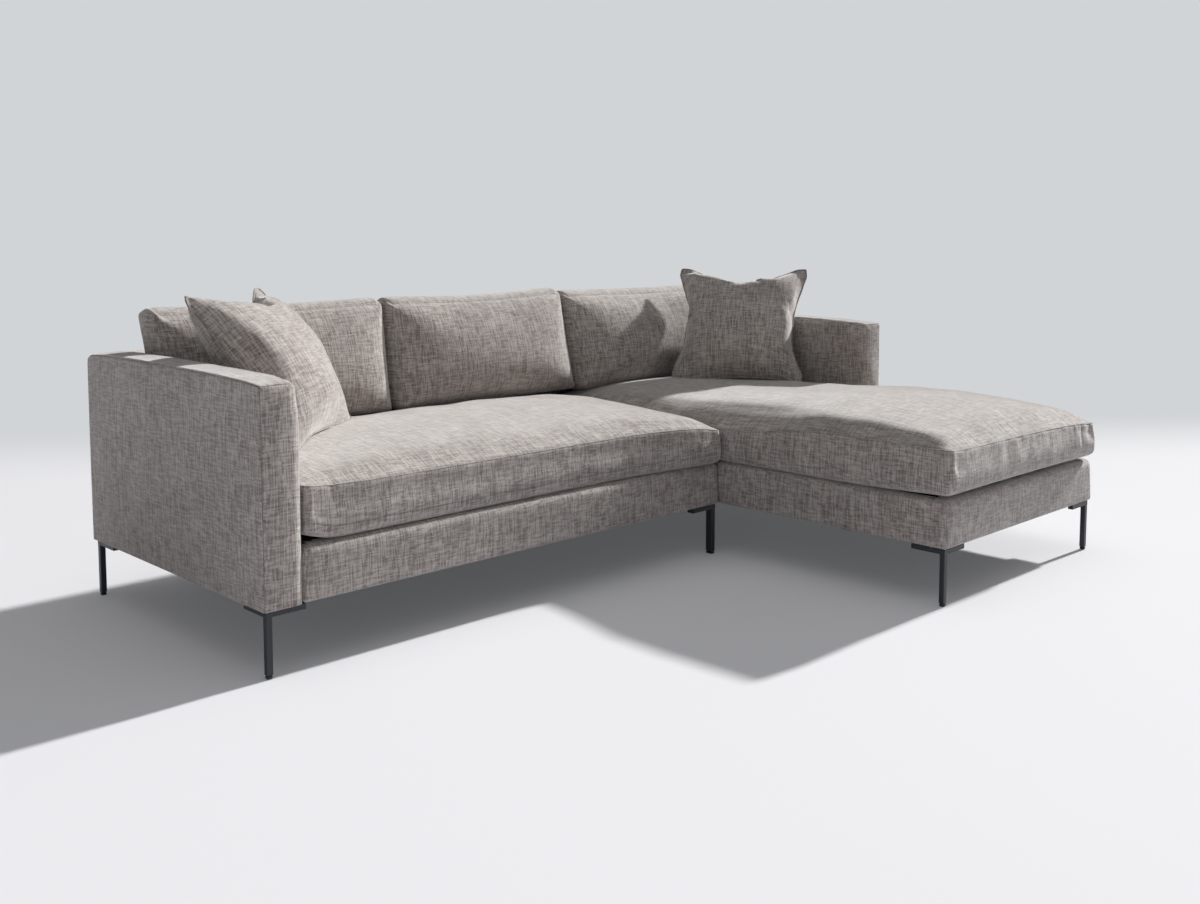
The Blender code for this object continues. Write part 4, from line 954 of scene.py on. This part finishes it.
class SofaSizes(bpy.types.PropertyGroup):
    """Sizes of the soft pieces that a user would change."""

    bench_crown: FloatProperty(
        name="Bench crown", description="Rise of the bench cushion's top panel over its seam",
        default=0.048, unit="LENGTH", subtype="DISTANCE")
    chaise_crown: FloatProperty(
        name="Chaise crown", description="Rise of the chaise cushion's top panel over its seam, in its front half",
        default=0.070, unit="LENGTH", subtype="DISTANCE")
    back_crown: FloatProperty(
        name="Back crown", description="Rise of a back cushion's front panel",
        default=0.046, unit="LENGTH", subtype="DISTANCE")
    seat_border_bulge: FloatProperty(
        name="Seat border bulge", description="How far a seat cushion's border swells out",
        default=0.0055, unit="LENGTH", subtype="DISTANCE")
    pillow_side: FloatProperty(
        name="Pillow side", description="Side of a pillow from piping to piping",
        default=0.455, unit="LENGTH", subtype="DISTANCE")
    pillow_front: FloatProperty(
        name="Pillow front", description="Rise of a pillow's front panel",
        default=0.103, unit="LENGTH", subtype="DISTANCE")
    pillow_back: FloatProperty(
        name="Pillow back", description="Rise of a pillow's back panel",
        default=0.086, unit="LENGTH", subtype="DISTANCE")
    piping: FloatProperty(
        name="Piping", description="Radius of the cord round a pillow",
        default=0.003, unit="LENGTH", subtype="DISTANCE")
    arm_bulge: FloatProperty(
        name="Arm bulge", description="How far the arm's outer panel swells out",
        default=0.008, unit="LENGTH", subtype="DISTANCE")
    inner_edge: FloatProperty(
        name="Arm inner edge", description="Radius of the arm's inner edges",
        default=0.016, unit="LENGTH", subtype="DISTANCE")


class SofaCloth(bpy.types.PropertyGroup):
    """Colours of the fabric that covers the sofa."""

    dark: FloatVectorProperty(
        name="Dark slubs", description="Colour of the dark threads",
        subtype="COLOR", size=3, default=linear("#625a57")[:3])
    light: FloatVectorProperty(
        name="Light slubs", description="Colour of the light threads",
        subtype="COLOR", size=3, default=linear("#bdb7b3")[:3])
    brown: FloatVectorProperty(
        name="Brown slubs", description="Colour of the brownish threads",
        subtype="COLOR", size=3, default=linear("#80726c")[:3])
    fuzz: FloatProperty(
        name="Fuzz", description="Strength of the soft light on the yarn's fuzz at grazing angles",
        default=0.7, min=0, max=1)


class SofaStage(bpy.types.PropertyGroup):
    """The floor, the light and the background."""

    floor_colour: FloatVectorProperty(
        name="Floor", description="Colour of the floor",
        subtype="COLOR", size=3, default=linear("#e3e4e9")[:3])
    background: FloatVectorProperty(
        name="Background", description="Colour behind the floor",
        subtype="COLOR", size=3, default=linear("#d1d4d6")[:3])
    sun_strength: FloatProperty(name="Sun", description="Strength of the low soft sun", default=5.1, min=0)
    sky_strength: FloatProperty(
        name="Sky", description="Strength of the even light from all round", default=0.14, min=0)
    softbox_power: FloatProperty(
        name="Softbox", description="Power of the broad lamp overhead, in watts", default=36, min=0)
    side_power: FloatProperty(
        name="Side light", description="Power of the broad lamp at the left, in watts", default=7, min=0)
    fill_power: FloatProperty(
        name="Fill", description="Power of the broad lamp at the right front, in watts", default=4, min=0)


# Operators


# A frame's top corners are sawn off within this reach, back to a round of this size, in metres.
SAWN_REACH, SAWN_SIZE = 0.013, 0.020


def sawn_corners(node, planed):
    """A copy of a frame, its top corners sawn off and its top planed down, to let the cover be softer there."""
    low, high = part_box(node)
    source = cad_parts[node]
    shape = bmesh.new()
    shape.from_mesh(source.data)
    shape.transform(source.matrix_world)
    bmesh.ops.remove_doubles(shape, verts=shape.verts, dist=ON_SIDE)

    def at_corner(place):
        across = min(place.x - low.x, high.x - place.x) < SAWN_REACH
        along = min(place.y - low.y, high.y - place.y) < SAWN_REACH
        return across and along and high.z - place.z < SAWN_REACH

    for vertex in [vertex for vertex in shape.verts if at_corner(vertex.co)]:
        inner = Vector([min(max(vertex.co[k], low[k] + SAWN_SIZE), high[k] - SAWN_SIZE) for k in range(3)])
        way = (vertex.co - inner).normalized()
        vertex.co = inner + way * SAWN_SIZE * 1.15
    for vertex in shape.verts:
        vertex.co.z -= planed * min(max((vertex.co.z - high.z + 0.030) / 0.010, 0.0), 1.0)
    mesh = bpy.data.meshes.new(node + "_sawn")
    shape.to_mesh(mesh)
    shape.free()
    obj = put_in(node + "_sawn", mesh)
    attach(obj, "root")
    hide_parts(node)
    give(obj, source.data.materials[0])


class SOFA_OT_finishes(bpy.types.Operator):
    """Make the sofa's finishes and give each bare solid its own"""

    bl_idname = "sofa.finishes"
    bl_label = "Finishes"

    def execute(self, context):
        linen_look_fabric()
        pine = [sawn_pine("sawn_pine", 0), sawn_pine("sawn_pine_lengthways", 1), sawn_pine("sawn_pine_upright", 2)]
        webbing, spunbond = woven_webbing(), black_spunbond()
        # Polyester powder coat on flat steel: dark blue grey, satin, with the fine orange peel of its melt.
        powder = speckled_finish("dark_powder_coat", 0.0012, "#212429", "#272a31", 0.00006, Roughness=0.42)
        # Moulded nylon 6: near black, satin, with a spark-eroded grain.
        nylon = speckled_finish("black_nylon", 0.0008, "#121213", "#18181a", 0.00005, Roughness=0.5)
        # Bright zinc plate on pressed steel: cold grey, with soft 8 mm clouds from the passivating bath.
        zinc = speckled_finish(
            "zinc_plated_steel", 0.008, "#aeb2b8", "#c4c6c4", 0.00002, Roughness=0.32, Metallic=1.0)
        for name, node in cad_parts.items():
            if name.endswith("_leg"):
                give(node, powder)
            elif name.endswith("_glide"):
                give(node, nylon)
            elif name.endswith("webbing"):
                give(node, webbing)
            elif name.endswith(("_deck", "dust_cover")):
                give(node, spunbond)
            elif name.startswith("joining"):
                give(node, zinc)
            elif name.endswith(("_frame", "_rail", "_stretcher")):
                low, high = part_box(name)
                give(node, pine[max(range(3), key=lambda k: high[k] - low[k])])
        return {"FINISHED"}


def arm_cover(name, outer, seed):
    """The padded cover of an arm, whose outer side looks along x by the sign outer."""
    sizes = bpy.context.scene.sofa_sizes
    low, high = box_of(name)
    outer_x = low[0] if outer < 0 else high[0]

    def radius(points):
        x, y, z = points.T
        corner = ease((z - high[2] + 0.09) / 0.06) * ease((low[1] + 0.09 - y) / 0.06)
        across = ease(np.abs(x - outer_x) / (high[0] - low[0]))
        return HARD_EDGE + (sizes.inner_edge - HARD_EDGE + 0.014 * corner) * across

    def settle(points):
        """Rounds the rear top corner, seen from the side, and lets the top sink towards its outer ends."""
        x, y, z = points.T
        size = 0.024
        near, top = high[1] - size, high[2] - size
        a, b = (y - near) / size, (z - top) / size
        zone = (a > 0) & (b > 0)
        a, b = np.clip(a, 0, 1.3), np.clip(b, 0, 1.3)
        y = np.where(zone, near + size * a * np.sqrt(1 - b * b / 2), y)
        outer_share = np.clip(1 - np.abs(x - outer_x) / (high[0] - low[0]), 0, 1)
        front = 0.009 * np.exp(-(y - low[1]) / 0.10) * outer_share
        rear = 0.010 * np.exp(-(high[1] - y) / 0.08) * (0.4 + 0.6 * outer_share)
        sink = (front + rear) * ease((z - high[2] + 0.12) / 0.12)
        return np.stack([x, y, np.where(zone, top + size * b * np.sqrt(1 - a * a / 2), z) - sink], 1)

    def seams(points, low, high):
        """Round the outer panel, along the inner side of its edge, and where the top meets the front."""
        x, y, z = points.T
        from_outer, from_front, from_top = np.abs(x - outer_x), y - low[1], high[2] - z
        on_panel = np.minimum(np.minimum(from_front, high[1] - y), from_top)
        round_edge = np.where(from_outer < ON_SIDE, on_panel, from_outer)
        top_front = np.where(from_front < ON_SIDE, from_top, np.where(from_top < ON_SIDE, from_front, 1.0))
        return np.minimum(round_edge, top_front)

    bulge = {(0, outer): sizes.arm_bulge, (2, 1): 0.0055, (1, -1): 0.0045, (1, 1): 0.003}
    cover_piece(padded_cover(name, radius, bulge, seams, BELOW, seed, settle=settle), name)
    sawn_corners(name.replace("_cover", "_frame"), 0.014)


def back_cover(name, arm_side, seed):
    """The padded cover of a back, whose arm stands along x by the sign arm_side."""
    low, high = box_of(name)
    end = low[0] if arm_side < 0 else high[0]

    def radius(points):
        return HARD_EDGE + 0.008 * ease((high[1] - points[:, 1]) / (high[1] - low[1]))

    def seams(points, low, high):
        """Round the rear panel, and along its edge."""
        x, y, z = points.T
        on_panel = np.minimum(np.minimum(x - low[0], high[0] - x), high[2] - z)
        return np.where(high[1] - y < ON_SIDE, on_panel, high[1] - y)

    def settle(points):
        """Lets the top sink towards the arm."""
        x, y, z = points.T
        sink = 0.009 * np.exp(-np.abs(x - end) / 0.12) * ease((z - high[2] + 0.12) / 0.12)
        return np.stack([x, y, z - sink], 1)

    bulge = {(1, 1): 0.003, (2, 1): 0.003}
    cover_piece(padded_cover(name, radius, bulge, seams, BELOW, seed, settle=settle), name)
    sawn_corners(name.replace("_cover", "_frame"), 0.010)


def base_cover(name, open_side, longer, butted):
    """The padded cover of a base rail, softer at its top than at its foot."""
    foot, top = (corner.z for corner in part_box(name))

    def radius(points):
        return 0.010 + 0.012 * ease((points[:, 2] - foot) / (top - foot))

    def seams(points, low, high):
        """None: far from every point."""
        return np.full(len(points), 1.0)

    cover_piece(padded_cover(name, radius, {}, seams, open_side, seed=5, longer=longer, butted=butted), name)


class SOFA_OT_arms_and_backs(bpy.types.Operator):
    """Build the padded covers of the arms and backs"""

    bl_idname = "sofa.arms_and_backs"
    bl_label = "Arms and backs"

    def execute(self, context):
        arm_cover("left_arm_cover", -1, 1)
        arm_cover("right_arm_cover", 1, 2)
        back_cover("sofa_back_cover", -1, 3)
        back_cover("chaise_back_cover", 1, 4)
        return {"FINISHED"}


class SOFA_OT_base_covers(bpy.types.Operator):
    """Build the padded covers of the base rails"""

    bl_idname = "sofa.base_covers"
    bl_label = "Base covers"

    def execute(self, context):
        # The front covers wrap round their ends, back to the side covers. Each: open side, longer, butted.
        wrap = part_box("chaise_inner_rail_cover")[0].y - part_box("chaise_front_rail_cover")[1].y - 0.0004
        covers = {
            "sofa_front_rail_cover": ((1, 1), ((1, 1, wrap),), ()),
            "sofa_end_rail_cover": ((0, -1), (), ((1, -1),)),
            "chaise_front_rail_cover": ((1, 1), ((1, 1, wrap),), ()),
            "chaise_inner_rail_cover": ((0, 1), (), ((1, -1),)),
            "chaise_outer_rail_cover": ((0, -1), (), ((1, -1),)),
        }
        for name, settings in covers.items():
            base_cover(name, *settings)
        return {"FINISHED"}


class SOFA_OT_seat_cushions(bpy.types.Operator):
    """Build the bench cushion and the chaise cushion"""

    bl_idname = "sofa.seat_cushions"
    bl_label = "Seat cushions"

    def execute(self, context):
        bench_cushion()
        chaise_cushion()
        return {"FINISHED"}


class SOFA_OT_back_cushions(bpy.types.Operator):
    """Build the three back cushions"""

    bl_idname = "sofa.back_cushions"
    bl_label = "Back cushions"

    def execute(self, context):
        forms = {
            "left_back_cushion": dict(left=(0.0, 0.006), right=(-0.001, 0.002), dip=0.004, boxed_left=1.0),
            "middle_back_cushion": dict(left=(-0.001, 0.002), right=(0.012, 0.006), dip=0.008, boxed_left=0.0),
            "chaise_back_cushion": dict(left=(0.012, 0.002), right=(0.0, -0.006), dip=0.005, boxed_left=0.0),
        }
        for seed, (node, form) in enumerate(forms.items(), 11):
            back_cushion(node, seed, **form)
        return {"FINISHED"}


class SOFA_OT_pillows(bpy.types.Operator):
    """Build the two throw pillows"""

    bl_idname = "sofa.pillows"
    bl_label = "Pillows"

    def execute(self, context):
        folds = ((0.70, 0.95, 0.30, 0.62, 0.004, 0.045), (-0.95, -0.55, -0.45, -0.35, 0.005, 0.05))
        place = (-0.8774, 0.42721, 0.6415)
        pillow("left_pillow", place, yaw=37, tilt=36, seed=21, dip_at=0.05, blunt=0.045, folds=folds)
        folds = (
            (0.06, 0.93, 0.28, 0.66, 0.010, 0.035), (-0.92, -0.90, -0.60, -0.62, 0.008, 0.05),
            (0.95, 0.30, 0.62, 0.12, 0.006, 0.05),
        )
        place = (0.94981, 0.36499, 0.64247)
        pillow("chaise_pillow", place, yaw=-55.5, tilt=34, seed=22, dip_at=0.02, blunt=0.012, folds=folds)
        return {"FINISHED"}


def lay_floor(stage):
    """The floor, a plain sheet up to a line behind the sofa, where it blends into the background."""
    ends = np.array(WALL_LINE)
    along = (ends[1] - ends[0]) / np.linalg.norm(ends[1] - ends[0])
    near = np.array([along[1], -along[0], 0.0])
    base, reach = ends[0], float(np.dot(ends[0], -near))
    outline = [base - 60 * along + 90 * near, base + 60 * along + 90 * near, base + 60 * along, base - 60 * along]
    mesh = bpy.data.meshes.new("floor")
    mesh.from_pydata([corner.tolist() for corner in outline], [], [(0, 1, 2, 3)])
    floor = put_in("floor", mesh)
    # Painted studio floor: matt and pale. Its last metre fades out, as a curved studio floor does, and a
    # little of what the camera sees is the paint's own colour, so that its shadows stay pale.
    material, tree, shader = new_finish("pale_floor", Roughness=0.9)
    shader.inputs["Base Color"].default_value = list(stage.floor_colour) + [1]
    ahead = add(tree, "ShaderNodeVectorMath", {0: place_in(tree), 1: tuple(-near)}, operation="DOT_PRODUCT")
    fade = mapped(tree, ahead.outputs["Value"], reach - 1.3, reach, interpolation_type="SMOOTHSTEP")
    camera = add(tree, "ShaderNodeLightPath").outputs["Is Camera Ray"]
    pale = add(tree, "ShaderNodeEmission", {"Color": linear("#eef0f5"), "Strength": 1}).outputs[0]
    glow = add(tree, "ShaderNodeEmission", {"Color": list(stage.background) + [1], "Strength": 1}).outputs[0]
    own, faded = reckon(tree, "MULTIPLY", camera, 0.09), reckon(tree, "MULTIPLY", fade, camera)
    lifted = add(tree, "ShaderNodeMixShader", {0: own, 1: shader.outputs[0], 2: pale}).outputs[0]
    blend = add(tree, "ShaderNodeMixShader", {0: faded, 1: lifted, 2: glow}).outputs[0]
    tree.links.new(blend, tree.nodes["Material Output"].inputs["Surface"])
    give(floor, material)


def light_world(stage):
    """Even light from all round. What is seen of it, straight or in a reflection, is the background."""
    world = bpy.data.worlds.new("studio")
    world.use_nodes = True
    bpy.context.scene.world = world
    tree = world.node_tree
    tree.nodes.clear()
    light = {"Color": linear("#fcfaf8"), "Strength": stage.sky_strength}
    light = add(tree, "ShaderNodeBackground", light).outputs[0]
    seen = {"Color": list(stage.background) + [1], "Strength": 1}
    seen = add(tree, "ShaderNodeBackground", seen).outputs[0]
    path = add(tree, "ShaderNodeLightPath").outputs
    direct = reckon(tree, "MAXIMUM", path["Is Camera Ray"], path["Is Glossy Ray"])
    direct = reckon(tree, "MAXIMUM", direct, path["Is Transmission Ray"])
    mixed = add(tree, "ShaderNodeMixShader", {0: direct, 1: light, 2: seen}).outputs[0]
    add(tree, "ShaderNodeOutputWorld", {"Surface": mixed})


def hang_lamps(stage):
    """A low soft sun from the right and three broad lamps that face the sofa."""
    lamp = bpy.data.lights.new("low_sun", "SUN")
    lamp.energy = stage.sun_strength
    lamp.angle = math.radians(2.5)
    lamp.color = (1.0, 0.985, 0.965)
    put_in("low_sun", lamp).rotation_euler = Vector((-0.773, 0.025, -0.42)).to_track_quat("-Z", "Y").to_euler()
    for name, place, side, power in (
        ("softbox_overhead", (-0.4, -0.6, 4.2), 5.0, stage.softbox_power),
        ("softbox_left", (-4.4, -1.4, 1.4), 2.4, stage.side_power),
        ("softbox_right_front", (3.4, -3.0, 2.2), 2.4, stage.fill_power),
    ):
        panel = bpy.data.lights.new(name, "AREA")
        panel.size = side
        panel.energy = power
        holder = put_in(name, panel)
        holder.location = place
        holder.rotation_euler = (Vector((-0.1, 0.0, 0.4)) - Vector(place)).to_track_quat("-Z", "Y").to_euler()


def set_camera():
    """The camera of the photograph, solved from its vanishing points."""
    data = bpy.data.cameras.new("photo_camera")
    data.lens, data.sensor_width, data.shift_y = 37.59, 36, -0.1017
    camera = put_in("photo_camera", data)
    camera.location = (-2.5311, -2.4742, 1.0047)
    camera.rotation_euler = (math.radians(90 - 4.961), 0, math.radians(-44.401))
    bpy.context.scene.camera = camera
    bpy.context.scene.view_settings.view_transform = "Standard"


class SOFA_OT_stage(bpy.types.Operator):
    """Lay the floor and set the light and the camera"""

    bl_idname = "sofa.stage"
    bl_label = "Stage"

    def execute(self, context):
        stage = context.scene.sofa_stage
        lay_floor(stage)
        light_world(stage)
        hang_lamps(stage)
        set_camera()
        return {"FINISHED"}


OPERATORS = (
    SOFA_OT_finishes, SOFA_OT_arms_and_backs, SOFA_OT_base_covers, SOFA_OT_seat_cushions,
    SOFA_OT_back_cushions, SOFA_OT_pillows, SOFA_OT_stage,
)


class SOFA_PT_panel(bpy.types.Panel):
    """Lists the sofa's pieces in the sidebar"""

    bl_idname = "SOFA_PT_panel"
    bl_label = "Corner sofa"
    bl_space_type = "VIEW_3D"
    bl_region_type = "UI"
    bl_category = "Sofa"

    def draw(self, context):
        for group in (context.scene.sofa_sizes, context.scene.sofa_cloth, context.scene.sofa_stage):
            for key in group.bl_rna.properties.keys():
                if key not in ("rna_type", "name"):
                    self.layout.prop(group, key)
        for operator in OPERATORS:
            self.layout.operator(operator.bl_idname)


def register():
    """Registers the classes and their settings."""
    for cls in (SofaSizes, SofaCloth, SofaStage, *OPERATORS, SOFA_PT_panel):
        bpy.utils.register_class(cls)
    bpy.types.Scene.sofa_sizes = PointerProperty(type=SofaSizes)
    bpy.types.Scene.sofa_cloth = PointerProperty(type=SofaCloth)
    bpy.types.Scene.sofa_stage = PointerProperty(type=SofaStage)


def unregister():
    """Takes the classes and their settings away."""
    del bpy.types.Scene.sofa_stage
    del bpy.types.Scene.sofa_cloth
    del bpy.types.Scene.sofa_sizes
    for cls in reversed((SofaSizes, SofaCloth, SofaStage, *OPERATORS, SOFA_PT_panel)):
        bpy.utils.unregister_class(cls)


def main():
    """Builds every piece in order."""
    register()
    bpy.ops.sofa.finishes()
    bpy.ops.sofa.arms_and_backs()
    bpy.ops.sofa.base_covers()
    bpy.ops.sofa.seat_cushions()
    bpy.ops.sofa.back_cushions()
    bpy.ops.sofa.pillows()
    bpy.ops.sofa.stage()


if __name__ == "__main__":
    main()
